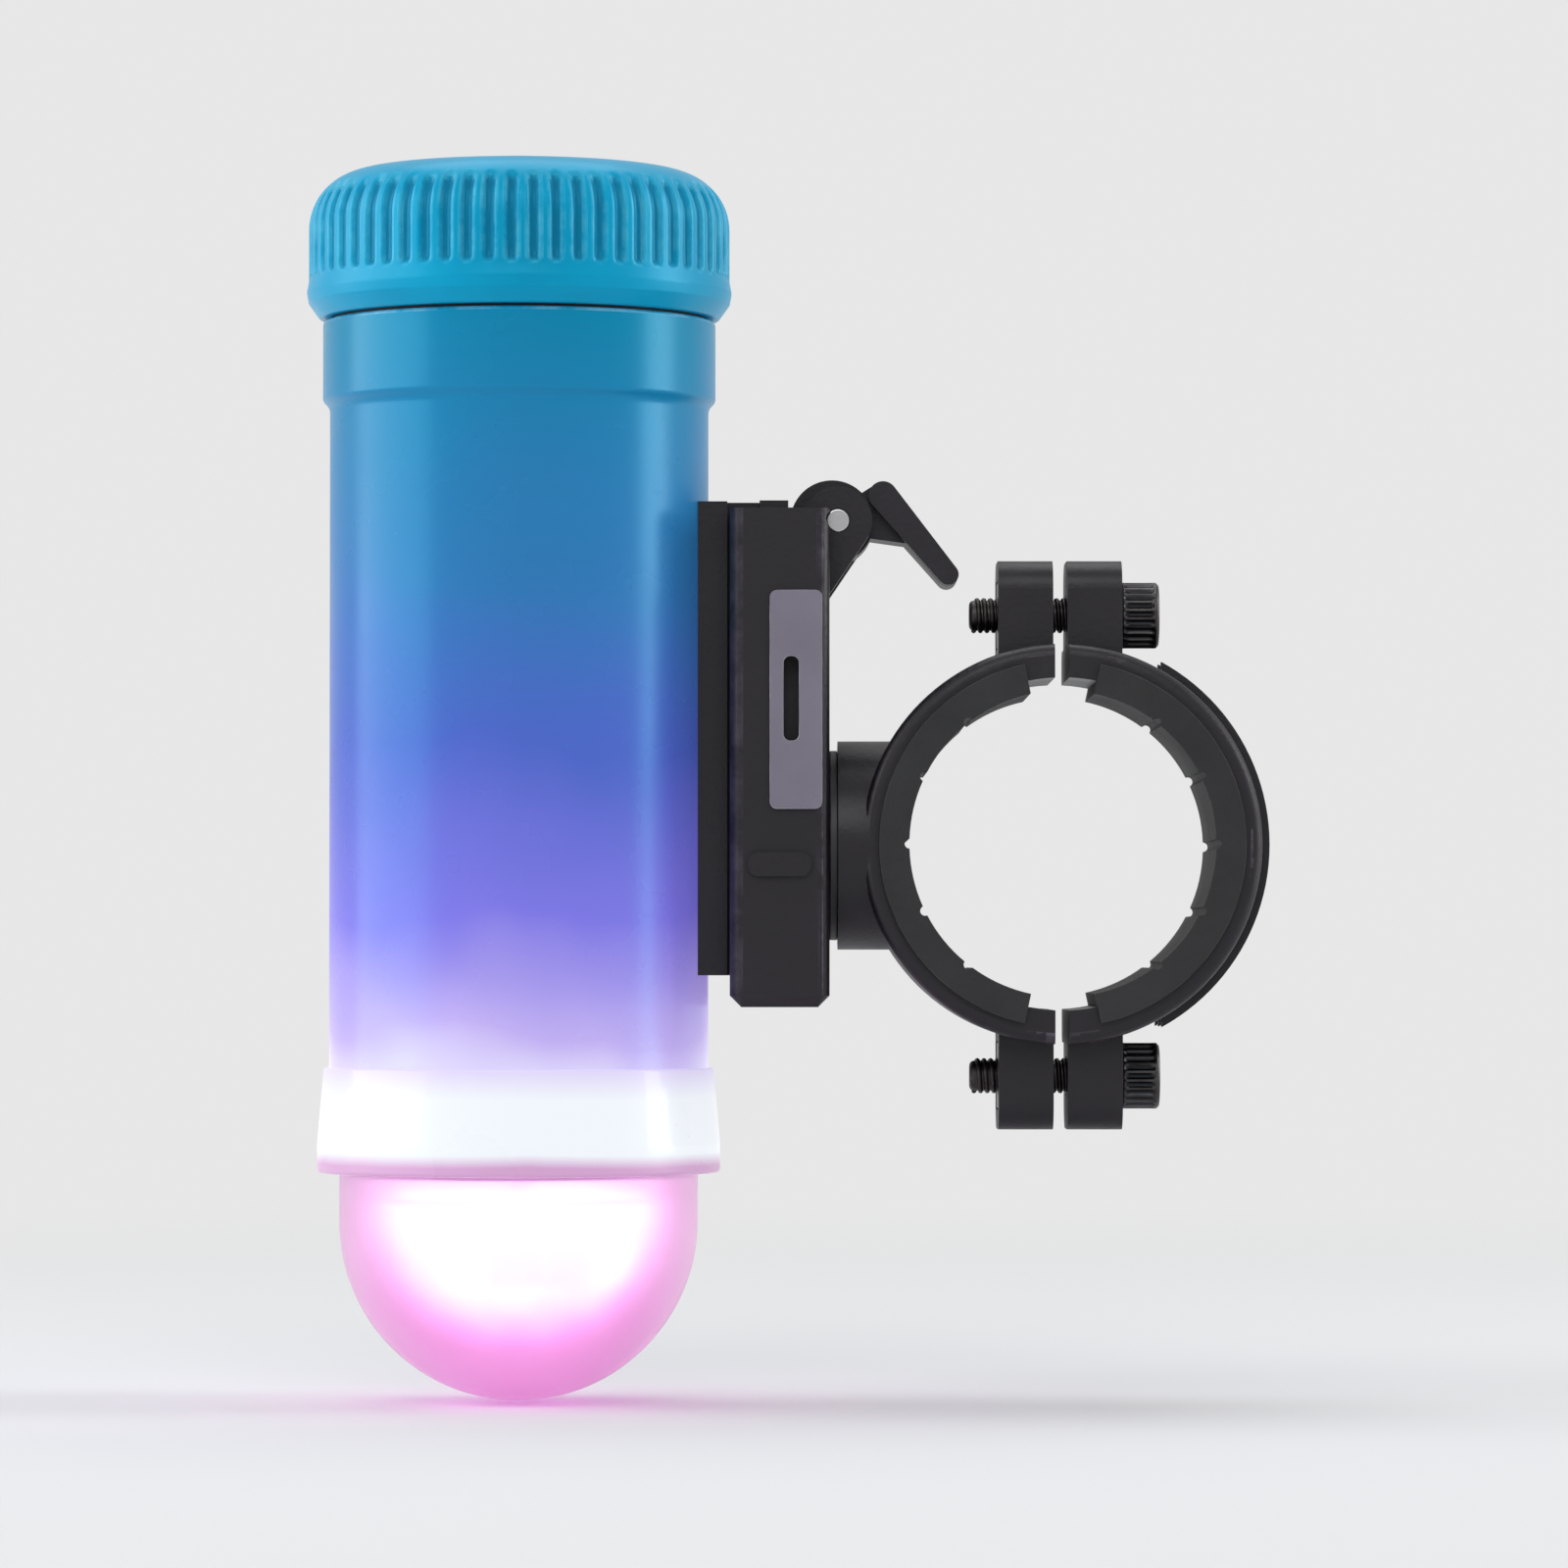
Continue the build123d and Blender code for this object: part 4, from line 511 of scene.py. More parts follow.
def tube_finish():
    """Translucent tube: teal at the top, with painted lamp glow that turns it blue and lilac lower down and
    white where the lamp shines through.
    """
    tones = colours()
    net = new_finish("Translucent tube")
    where = net.where()
    cloud = net.noise(where, 46.0)
    uneven = net("*+", net("-", cloud, 0.5), 14.0, net.height(where))
    between = [top * 0.6 + middle * 0.4 for top, middle in zip(tones.tube_top, tones.tube_middle)]
    # painted glow: the lamps' light through the plastic is painted into the base colour and the emission
    # alike, and the emission lights even the top evenly
    body, light = lit(net, net.span(uneven, TUBE_END, COLLAR_TOP), [
        (0.03, tones.tube_end, 0.75), (0.085, tones.tube_end, 0.75), (0.135, tones.tube_low, 0.62),
        (0.27, tones.tube_violet, 0.5), (0.48, tones.tube_middle, 0.4), (0.68, between, 0.32),
        (1.0, tones.tube_top, 0.28),
    ])
    worn_and_groove_shaded = effect(net, "Worn edges and groove shade", Colour=body, Worn_colour=shade(190, 226, 240), Wear=0.25)
    handled = effect(net, "Handling", Roughness=0.27, Spread=0.05, Scratches=0.4)
    return surface(net, {
        "Base Color": worn_and_groove_shaded["Colour"], "Roughness": handled["Roughness"], "Specular Tint": tones.sheen,
        "Emission Color": light, "Emission Strength": 1.0,
        "Normal": net.bump(net("*+", handled["Scratch height"], 0.6, cloud), 0.01),
    })


def bezel_finish():
    """Pale translucent ring, lit by the lamps behind it."""
    tones = colours()
    net = new_finish("Lit bezel")
    mottle = effect(net, "Moulded grain", Grain=1800.0, Unevenness=60.0)["Mottle"]
    uneven = net("*+", net("-", mottle, 0.5), 0.8, net.height(net.where()))
    body, light = lit(net, net.span(uneven, BEZEL_LOW, BEZEL_TOP), [
        (0.0, tones.rim, 0.35), (0.08, tones.rim, 0.45), (0.2, tones.bezel, 0.72), (0.72, tones.bezel, 0.72),
        (1.0, tones.tube_end, 0.66),
    ])
    handled = effect(net, "Handling", Roughness=0.3, Spread=0.08, Scratches=0.3)
    return surface(net, {
        "Base Color": body, "Roughness": handled["Roughness"], "Normal": net.bump(mottle, 0.006),
        "Emission Color": light, "Emission Strength": 1.0, "Coat Weight": 0.2, "Specular IOR Level": 0.3,
    })


def dome_finish():
    """Clear dome, faintly lit: pale by the ring, pink towards the tip."""
    tones = colours()
    net = new_finish("Lit dome")
    where = net.where()
    light = net.ramp(net.span(net.height(where), DOME_TIP, DOME_TOP), [
        (0.0, tones.glow), (0.3, shade(238, 160, 222)), (0.7, shade(244, 200, 238)),
        (1.0, shade(236, 206, 240)),
    ], "EASE")
    haze = net.noise(where, 130.0, 3.0, 0.55)
    handled = effect(net, "Handling", Roughness=0.31, Spread=0.03, Scratches=0.08)
    return surface(net, {
        "Base Color": tones.dome, "Roughness": handled["Roughness"], "Transmission Weight": 1.0, "IOR": 1.46,
        "Emission Color": light, "Emission Strength": 0.09,
        "Normal": net.bump(net("*+", handled["Scratch height"], 0.5, haze), 0.004),
    })


def pattern_finish():
    """Faceted spinning lens, each facet lit a little differently by the lamps behind it."""
    net = new_finish("Lit pattern lens")
    where = net.where()
    light = net.ramp(net.stored("facet"), [
        (0.0, shade(226, 168, 224)), (0.3, shade(196, 208, 246)), (0.55, shade(242, 206, 240)),
        (0.8, shade(250, 240, 255)), (1.0, shade(255, 255, 255)),
    ])
    tip = net.span(net.height(where), -44.0, -53.0, smooth=True)
    light = net.blend(tip, light, net.blend(1.0, light, colours().glow, "MULTIPLY"))
    return surface(net, {
        "Base Color": shade(250, 250, 255), "Roughness": net.vary(where, 600.0, 0.04, 0.1),
        "Transmission Weight": 0.3, "IOR": 1.49, "Emission Color": light, "Emission Strength": 0.95,
    })


def lamp_finish():
    """Lamp bodies: white, with the lens on top coloured red, green or blue round the circle."""
    net = new_finish("Lamp")
    where = net.where()
    apart = net.apart(net.vector("SUBTRACT", where, (LIGHT_X, 0.0, 0.0)))
    turn = net("FRACT", net("/", net("+", net("ARCTAN2", apart["Y"], apart["X"]), math.pi), math.pi))
    hue = net.ramp(turn, [
        (0.0, shade(255, 90, 90)), (0.333, shade(90, 255, 140)), (0.667, shade(110, 130, 255)),
    ], "CONSTANT")
    lens = net.stored("lens")
    return surface(net, {
        "Base Color": net.blend(lens, shade(238, 236, 226), hue),
        "Roughness": net.vary(where, 900.0, 0.15, 0.35),
        "Emission Color": net.blend(lens, (0.0, 0.0, 0.0), hue), "Emission Strength": 1.5,
    })


def board_finish(name, tone, track, laminate):
    """Solder mask over copper tracks, bare laminate at the board's edge, and dark chips."""
    net = new_finish(name)
    where = net.where()
    bricks = net.get("ShaderNodeTexBrick", {
        "Vector": where, "Scale": 260.0, "Mortar Size": 0.03, "Brick Width": 0.9, "Row Height": 0.32,
    }, "Fac")
    side = net.stored("side")
    tracks = net("*", bricks, net.span(net.noise(where, 190.0, 1.0), 0.5, 0.56))
    tracks = net("*", tracks, net("-", 1.0, side))
    body = net.blend(tracks, net.blend(side, tone, laminate), track)
    return surface(net, {
        "Base Color": net.blend(net.stored("chip"), body, shade(30, 30, 33)), "Coat Weight": 0.3,
        "Roughness": net.vary(where, 400.0, 0.28, 0.42, 3.0), "Normal": net.bump(tracks, 0.03),
    })


def cell_finish():
    """Film-wrapped cell: a dark body, a pale band at one end and bare metal ends."""
    net = new_finish("Cell wrap")
    bare = net.stored("bare")
    creases = net.noise(net.where(), 500.0, 3.0)
    wrap = net.blend(net.span(net.stored("rise"), 0.795, 0.8), shade(64, 70, 84), shade(168, 150, 96))
    return surface(net, {
        "Base Color": net.blend(bare, wrap, shade(206, 206, 204)), "Metallic": bare,
        "Roughness": net("*+", creases, 0.12, net("*+", bare, -0.04, 0.24)),
        "Normal": net.bump(creases, 0.02),
    })


def finishes():
    """How each of the record's material slots is made: a function and what it is given."""
    tones = colours()
    return {
        "tube": (tube_finish,),
        # the cap's emission is a painted teal glow; the cap is no lamp
        "cap": (
            plastic, "Moulded teal", tones.cap, shade(110, 205, 225), 0.34, 0.06, 1500.0, 0.006, 0.3, 0.05,
            0.5, tones.sheen, shade(0, 66, 92), 0.35,
        ),
        "key": (plastic, "Soft key", tones.key, shade(70, 170, 200), 0.55, 0.08, 3600.0, 0.02, 0.4, 0.05),
        "bezel": (bezel_finish,),
        "clear": (dome_finish,),
        "rubber": (
            plastic, "Soft rubber", tones.rubber, shade(72, 70, 68), 0.72, 0.1, 1100.0, 0.07, 0.5, 0.16,
        ),
        # the pale worn edges here are partly real wear and partly a painted highlight along the rims
        "moulded": (
            plastic, "Glass-filled black", tones.moulded, shade(112, 104, 118), 0.44, 0.1, 1500.0, 0.035, 0.9,
            0.16, 0.38,
        ),
        "plate": (
            plastic, "Grey plate", tones.plate, shade(186, 182, 192), 0.36, 0.1, 2800.0, 0.02, 0.7, 0.06,
        ),
        "steel": (metal, "Stainless steel", shade(196, 196, 200), 0.24),
        "zinc": (metal, "Dull zinc", shade(128, 126, 124), 0.4, DRAWN, shade(96, 92, 88), 0.6),
        "black_steel": (metal, "Blackened steel", shade(58, 57, 60), 0.36, DRAWN, shade(84, 76, 70), 0.5),
        "contact": (metal, "Plated brass", shade(226, 200, 128), 0.22, DRAWN, shade(176, 138, 72), 0.5),
        "spring": (metal, "Spring wire", shade(214, 214, 216), 0.16, (400.0, 400.0, 9000.0)),
        "board": (board_finish, "Green board", tones.board, shade(46, 140, 82), shade(140, 150, 96)),
        "led_board": (
            board_finish, "White board", shade(232, 233, 230), shade(206, 208, 204), shade(176, 178, 172),
        ),
        "led": (lamp_finish,),
        "white": (
            plastic, "White diffuser", shade(226, 228, 232), shade(250, 250, 250), 0.5, 0.06, 2400.0, 0.01,
            0.3, 0.02,
        ),
        "inner_black": (
            plastic, "Inner black", shade(46, 46, 50), shade(90, 90, 94), 0.5, 0.08, 2600.0, 0.02, 0.5,
        ),
        "cell": (cell_finish,),
        "motor": (metal, "Plated can", shade(158, 159, 164), 0.3, (6000.0, 6000.0, 60.0)),
        "pattern": (pattern_finish,),
    }


MADE = {}


def finish(slot):
    """The material of a slot, built once."""
    if slot not in MADE:
        make, *given = finishes()[slot]
        MADE[slot] = make(*given)
    return MADE[slot]


# Mesh work


def softened(corners, steps=4):
    """A closed outline of (radius, height), with a rounding where a corner has a third value."""
    outline = []
    for place, corner in enumerate(corners):
        here = Vector(corner[:2])
        if len(corner) == 2:
            outline.append(tuple(here))
            continue
        before = Vector(corners[place - 1][:2])
        after = Vector(corners[(place + 1) % len(corners)][:2])
        back, on = (before - here).normalized(), (after - here).normalized()
        half = back.angle(on) / 2
        reach = min(corner[2] / math.tan(half), 0.49 * (before - here).length, 0.49 * (after - here).length)
        centre = here + (back + on).normalized() * (reach * math.tan(half) / math.sin(half))
        start, end = here + back * reach - centre, here + on * reach - centre
        sweep = start.angle_signed(end)
        for step in range(steps + 1):
            outline.append(tuple(centre + Matrix.Rotation(-sweep * step / steps, 2) @ start))
    return outline


def arc(radius, centre, start, end, steps):
    """Points (radius, height) along an arc about the axis, by angles in degrees below the horizon."""
    points = []
    for step in range(steps + 1):
        angle = math.radians(start + (end - start) * step / steps)
        points.append((radius * math.cos(angle), centre - radius * math.sin(angle)))
    return points


def lathe(outline, turns=160, x=LIGHT_X):
    """A mesh spun from a closed outline in millimetres about an upright axis, in metres."""
    work = bmesh.new()
    rings = []
    for step in range(turns):
        angle = math.tau * step / turns
        cosine, sine = math.cos(angle), math.sin(angle)
        rings.append([
            work.verts.new((x + max(r, 0.0) * MM * cosine, max(r, 0.0) * MM * sine, z * MM))
            for r, z in outline
        ])
    for step in range(turns):
        this, following = rings[step], rings[(step + 1) % turns]
        for place, (radius, _) in enumerate(outline):
            after = (place + 1) % len(outline)
            if radius > 1e-6 or outline[after][0] > 1e-6:
                work.faces.new((this[place], following[place], following[after], this[after]))
    bmesh.ops.remove_doubles(work, verts=work.verts, dist=1e-7)
    bmesh.ops.recalc_face_normals(work, faces=work.faces)
    return work


def hexagon(work, radius):
    """Turn the ring of this radius, in millimetres, into a hexagon of the same corners."""
    for corner in work.verts:
        out = math.hypot(corner.co.x, corner.co.y)
        if abs(out - radius * MM) < 1e-7:
            turn = math.atan2(corner.co.y, corner.co.x) % (math.pi / 3) - math.pi / 6
            shrink = math.cos(math.pi / 6) / math.cos(turn)
            corner.co.x, corner.co.y = corner.co.x * shrink, corner.co.y * shrink
    return work


def cad_copy(node):
    """A merged copy of a CAD node, with its flat faces whole again."""
    work = bmesh.new()
    work.from_mesh(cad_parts[node].data)
    bmesh.ops.remove_doubles(work, verts=work.verts, dist=2e-6)
    bmesh.ops.dissolve_limit(
        work, angle_limit=math.radians(0.5), verts=work.verts, edges=work.edges, use_dissolve_boundaries=False
    )
    return work


def mesh_object(name, work, slot):
    """An object made from mesh work, with its slot's finish."""
    mesh = bpy.data.meshes.new(name)
    work.to_mesh(mesh)
    work.free()
    made = bpy.data.objects.new(name, mesh)
    bpy.context.scene.collection.objects.link(made)
    mesh.materials.append(finish(slot))
    return made


def bake(piece):
    """Turn a piece's modifiers into plain mesh."""
    graph = bpy.context.evaluated_depsgraph_get()
    mesh = bpy.data.meshes.new_from_object(
        piece.evaluated_get(graph), preserve_all_data_layers=True, depsgraph=graph
    )
    mesh.name = piece.name
    piece.modifiers.clear()
    piece.data = mesh
    return piece


def store(piece, name, domain, values):
    """Keep a value for each point, face or face corner of a piece, for its finish."""
    piece.data.attributes.new(name, "FLOAT", domain).data.foreach_set("value", values)


def mark_edges(piece, width):
    """Store the narrow faces where the surface turns outwards by 12 to 24 degrees, for the worn edges."""
    work = bmesh.new()
    work.from_mesh(piece.data)
    values = []
    for face in work.faces:
        shared = [edge for edge in face.edges if len(edge.link_faces) == 2]
        turn = max((math.degrees(edge.calc_face_angle_signed(0.0)) for edge in shared), default=0.0)
        narrow = face.calc_area() < max(edge.calc_length() for edge in face.edges) * width * MM
        values += [min(1.0, max(0.0, (turn - 12.0) / 12.0)) if narrow else 0.0] * len(face.loops)
    work.free()
    store(piece, "edge", "CORNER", values)


def smooth(piece, bevel=0.0, angle=30.0, segments=3):
    """Round a piece's edges, shade it smoothly and store its worn edges."""
    if not bevel:
        mark_edges(piece, 0.5)
    piece.data.shade_smooth()
    piece.data.set_sharp_from_angle(angle=math.radians(angle if bevel else 38.0))
    if not bevel:
        piece.modifiers.new("Weighted normals", "WEIGHTED_NORMAL").keep_sharp = True
        return bake(piece)
    rounding = piece.modifiers.new("Rounding", "BEVEL")
    rounding.harden_normals = True
    rounding.width = bevel * MM
    rounding.segments = segments
    rounding.limit_method = "ANGLE"
    rounding.angle_limit = math.radians(angle)
    rounding.use_clamp_overlap = True
    bake(piece)
    mark_edges(piece, bevel)
    return piece


def true_normals(piece, node):
    """Shade a rounded copy of a CAD node by the node's own normals wherever it still lies on its faces."""
    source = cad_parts[node].data
    corners = [corner.vector.copy() for corner in source.corner_normals]
    spots = [vertex.co.copy() for vertex in source.vertices]
    sides = [tuple(side.vertices) for side in source.polygons]
    starts = [side.loop_start for side in source.polygons]
    faces = BVHTree.FromPolygons(spots, sides)
    mesh = piece.data
    near = [faces.find_nearest_range(vertex.co, 0.004 * MM) for vertex in mesh.vertices]
    kept = [corner.vector.copy() for corner in mesh.corner_normals]
    for face in mesh.polygons:
        for loop in face.loop_indices:
            found = near[mesh.loops[loop].vertex_index]
            if not found:
                continue
            spot, facing, index, _ = max(found, key=lambda each: each[1].dot(face.normal))
            if facing.dot(face.normal) < 0.9:
                continue
            weights = poly_3d_calc([spots[place] for place in sides[index]], spot)
            exact = sum((corners[starts[index] + k] * weight for k, weight in enumerate(weights)), Vector())
            if exact.length > 0.1:
                kept[loop] = exact.normalized()
    mesh.normals_split_custom_set(kept)


def place(piece, body, slot, *nodes):
    """Give a finished piece its body and hide the CAD nodes that it stands for. Its slot is not used."""
    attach(piece, body)
    if nodes:
        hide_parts(*nodes)
    return piece


def from_cad(node, body, slot, bevel=None, name=None, angle=30.0, segments=3, look=None):
    """A CAD node's shape with its edges rounded, by the size of the moulded edges if no other is given."""
    piece = mesh_object(name or node + "_shell", cad_copy(node), look or slot)
    smooth(piece, sizes().edge_bevel / MM if bevel is None else bevel, angle, segments)
    true_normals(piece, node)
    if "board" in slot:
        # the cut edges of a board
        store(piece, "side", "FACE", [float(abs(face.normal.z) < 0.9) for face in piece.data.polygons])
    return place(piece, body, slot, node)


def rounded(*rows):
    """Nodes that only get rounded edges, each row as from_cad takes it."""
    for row in rows:
        from_cad(*row)


def spun(name, outline, body, slot, node, turns):
    """A spun piece with soft edges, in place of a CAD node."""
    return place(smooth(mesh_object(name, lathe(outline, turns), slot)), body, slot, node)


def dress(node, slot):
    """Give a CAD node that stays its finish."""
    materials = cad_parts[node].data.materials
    materials.clear()
    materials.append(finish(slot))


# Geometry Nodes


def finished(net, geometry, given):
    """The end of a geometry group: plain mesh with its material."""
    real = net.get("GeometryNodeRealizeInstances", {"Geometry": geometry})
    return {"Geometry": net.get("GeometryNodeSetMaterial", {"Geometry": real, "Material": given["Material"]})}


@node_group("Coil", {
    "Geometry": "Geometry", "Turns": 3.0, "Start radius": 0.003, "End radius": 0.003, "Rise": 0.005,
    "Wire radius": 0.0003, "Closed ends": 0.0, "Centre": (0.0, 0.0, 0.0), "Steps": 200, "Sides": 10,
    "Material": "Material",
}, {"Geometry": "Geometry"})
def coil_group(net, given):
    """A wire wound into a coil: springs, thread ridges and screw threads."""
    line = net.get("GeometryNodeCurvePrimitiveLine", {"Start": (0, 0, 0), "End": (0, 0, 1)})
    points = net.get("GeometryNodeResampleCurve", {"Curve": line, "Count": given["Steps"]})
    along = net.get("GeometryNodeSplineParameter", output="Factor")
    angle = net("*", net("*", along, given["Turns"]), math.tau)
    rising = net.span(along, given["Closed ends"], net("-", 1.0, given["Closed ends"]))
    growth = net("-", given["End radius"], given["Start radius"])
    radius = net("*+", rising, growth, given["Start radius"])
    spot = net.get("ShaderNodeCombineXYZ", {
        "X": net("*", radius, net("COSINE", angle)),
        "Y": net("*", radius, net("SINE", angle)),
        "Z": net("*", rising, given["Rise"]),
    })
    spot = net.vector("ADD", spot, given["Centre"])
    wound = net.get("GeometryNodeSetPosition", {"Geometry": points, "Position": spot})
    # the wire is pinched at its two ends
    near_end = net("MINIMUM", along, net("-", 1.0, along))
    pinch = net.span(near_end, 0.0, 0.00001, 0.15, 1.0, smooth=True)
    thick = net.get("GeometryNodeSetCurveRadius", {"Curve": wound, "Radius": pinch})
    section = net.get("GeometryNodeCurvePrimitiveCircle", {
        "Resolution": given["Sides"], "Radius": given["Wire radius"],
    })
    wire = net.get("GeometryNodeCurveToMesh", {"Curve": thick, "Profile Curve": section, "Fill Caps": True})
    return finished(net, net.get("GeometryNodeSetShadeSmooth", {"Geometry": wire}), given)


@node_group("Flutes", {
    "Geometry": "Geometry", "Count": 60, "Cutter radius": 0.0006, "Cutter lift": 0.0001, "Rounding": 0.0002,
    "Centre": (0.0, 0.0, 0.0), "Low": 0.0595, "High": 0.08, "Fade": 0.0009, "Inner limit": 0.021,
    "Material": "Material",
}, {"Geometry": "Geometry"})
def flute_group(net, given):
    """Carve upright flutes round a spun shell, as a row of round cutters would."""
    spot = net.get("GeometryNodeInputPosition")
    x, y, z = net.apart(net.vector("SUBTRACT", spot, given["Centre"]))
    radius = net("SQRT", net("+", net("POWER", x, 2.0), net("POWER", y, 2.0)))
    # how far round the shell the nearest cutter stands
    step = net("/", math.tau, given["Count"])
    steps = net("+", net("/", net("ARCTAN2", y, x), step), 40.5)
    off = net("*", net("-", net("FRACT", steps), 0.5), step)
    across = net("*", radius, net("SINE", off))
    # the flutes fade out at both ends
    low, high, fade = given["Low"], given["High"], given["Fade"]
    lower = net.span(z, low, net("+", low, fade), smooth=True)
    upper = net.span(z, net("-", high, fade), high, 1.0, 0.0, smooth=True)
    inside = net("*", lower, upper)
    cutter = given["Cutter radius"]
    room = net("-", net("*", cutter, cutter), net("*", across, across))
    depth = net("-", net("SQRT", net("MAXIMUM", room, 0.0)), given["Cutter lift"])
    depth = net("*", net("SMOOTH_MAX", depth, 0.0, given["Rounding"]), inside)
    outer = net("GREATER_THAN", radius, given["Inner limit"])
    carve = net("*", net("GREATER_THAN", inside, 0.0), outer)
    inwards = net.get("ShaderNodeVectorMath", {
        0: net.get("GeometryNodeInputNormal"), "Scale": net("*", depth, -1.0),
    }, operation="SCALE")
    picked = net.get("FunctionNodeCompare", {0: carve, 1: 0.5}, operation="GREATER_THAN")
    share = net("*", net("/", depth, cutter), picked, clamp=True)
    # the depth share is kept as groove, from which the finishes paint shade into the grooves
    marked = net.get("GeometryNodeStoreNamedAttribute", {
        "Geometry": given["Geometry"], "Name": "groove", "Value": share,
    }, data_type="FLOAT", domain="POINT")
    return finished(net, net.get("GeometryNodeSetPosition", {
        "Geometry": marked, "Selection": picked, "Position": net.vector("ADD", spot, inwards),
    }), given)


@node_group("Ring of copies", {
    "Geometry": "Geometry", "Count": 6, "First angle": 0.0, "Centre": (0.0, 0.0, 0.0), "Material": "Material",
}, {"Geometry": "Geometry"})
def ring_group(net, given):
    """Repeat one piece evenly round an upright axis."""
    points = net.get("GeometryNodePoints", {
        "Count": given["Count"], "Position": given["Centre"], "Radius": 0.001,
    })
    number = net.get("GeometryNodeInputIndex")
    turn = net("*+", number, net("/", math.tau, given["Count"]), given["First angle"])
    return finished(net, net.get("GeometryNodeInstanceOnPoints", {
        "Points": points, "Instance": given["Geometry"],
        "Rotation": net.get("ShaderNodeCombineXYZ", {"Z": turn}),
    }), given)


def run_group(piece, name, inputs, slot):
    """Run a geometry group on a piece with the given inputs and keep the result as plain mesh."""
    step = piece.modifiers.new(name, "NODES")
    step.node_group = group(name)
    inputs = {**inputs, "Material": finish(slot)}
    for socket in step.node_group.interface.items_tree:
        if socket.in_out == "INPUT" and socket.name in inputs:
            step[socket.identifier] = inputs[socket.name]
    return bake(piece)


def coil(name, slot, **inputs):
    """A coil as a piece of its own, stood up along Z."""
    return run_group(mesh_object(name, bmesh.new(), slot), "Coil", spaced(inputs), slot)


def thread(name, slot, centre, turns, pitch, radius, ridge, steps, sides):
    """A thread's ridge about an upright axis. All lengths are in metres."""
    return coil(
        name, slot, Centre=centre, Turns=turns, Rise=turns * pitch, Start_radius=radius, End_radius=radius,
        Wire_radius=ridge, Steps=steps, Sides=sides,
    )


def spring(name, x, y, low, rise, wide_foot):
    """A conical contact spring from a height up. All lengths are in metres."""
    wire = sizes().spring_wire
    first, last = SPRING_WIDE * MM - wire, SPRING_NARROW * MM - wire
    if not wide_foot:
        first, last = last, first
    return coil(
        name, "spring", Centre=(x, y, low + wire), Turns=SPRING_TURNS, Rise=rise - 2 * wire,
        Start_radius=first, End_radius=last, Wire_radius=wire, Closed_ends=0.16, Steps=260, Sides=12,
    )


def ringed(piece, count, first_angle, slot, node):
    """A piece repeated round the light's axis, in place of a CAD node."""
    given = {"Count": count, "First angle": math.radians(first_angle), "Centre": axis_centre(0.0)}
    return place(run_group(piece, "Ring of copies", given, slot), "light", slot, node)


def joined(name, parts, slot):
    """Several meshes as one piece."""
    work = bmesh.new()
    for part in parts:
        work.from_mesh(part.data)
        bpy.data.objects.remove(part)
    return mesh_object(name, work, slot)


def axis_centre(height):
    """A point on the light's axis, in metres, at a height in millimetres."""
    return (LIGHT_X, 0.0, height * MM)


# Operators


class BIKELIGHT_OT_tube(bpy.types.Operator):
    """Make the translucent tube with its collar, neck and thread"""

    bl_idname = "bike_light.tube"
    bl_label = "Tube"
    bl_options = {"REGISTER", "UNDO"}

    def execute(self, context):
        outline = softened([
            (TUBE_BORE, TUBE_END, 0.3), (TUBE_RADIUS, TUBE_END, 0.3), (TUBE_RADIUS, COLLAR_LOW - 0.75, 1.6),
            (COLLAR_RADIUS, COLLAR_LOW, 0.7), (COLLAR_RADIUS, COLLAR_TOP, 0.4),
            (NECK_RADIUS, COLLAR_TOP, 0.3), (NECK_RADIUS, NECK_TOP, 0.4), (NECK_BORE, NECK_TOP, 0.3),
            (NECK_BORE, COLLAR_TOP - 2.5), (TUBE_BORE, COLLAR_TOP - 5.0), (TUBE_BORE, LEDGE_LOW + 1.5),
            (LEDGE_BORE, LEDGE_LOW + 1.5, 0.2), (LEDGE_BORE, LEDGE_LOW, 0.2), (TUBE_BORE, LEDGE_LOW),
        ])
        shell = mesh_object("tube_shell", lathe(outline, 192), "tube")
        for height in RAIL_SCREWS:
            drill = lathe([
                (0.0, 10.0), (RAIL_SCREW_HOLE, 10.0), (RAIL_SCREW_HOLE, 24.0), (0.0, 24.0),
            ], 24, 0.0)
            drill.transform(Matrix.Translation(axis_centre(height)) @ Matrix.Rotation(math.pi / 2, 4, "Y"))
            cutter = mesh_object("drill", drill, "tube")
            cut = shell.modifiers.new("Screw hole", "BOOLEAN")
            cut.operation, cut.solver, cut.object = "DIFFERENCE", "EXACT", cutter
            bake(shell)
            bpy.data.objects.remove(cutter)
        place(smooth(shell), "light", "tube", "body_tube")
        ridge = thread(
            "neck_thread", "tube", axis_centre(NECK_THREAD_LOW), NECK_TURNS, sizes().thread_pitch,
            NECK_RADIUS * MM, sizes().thread_ridge, 420, 12,
        )
        place(ridge, "light", "tube")
        return {"FINISHED"}


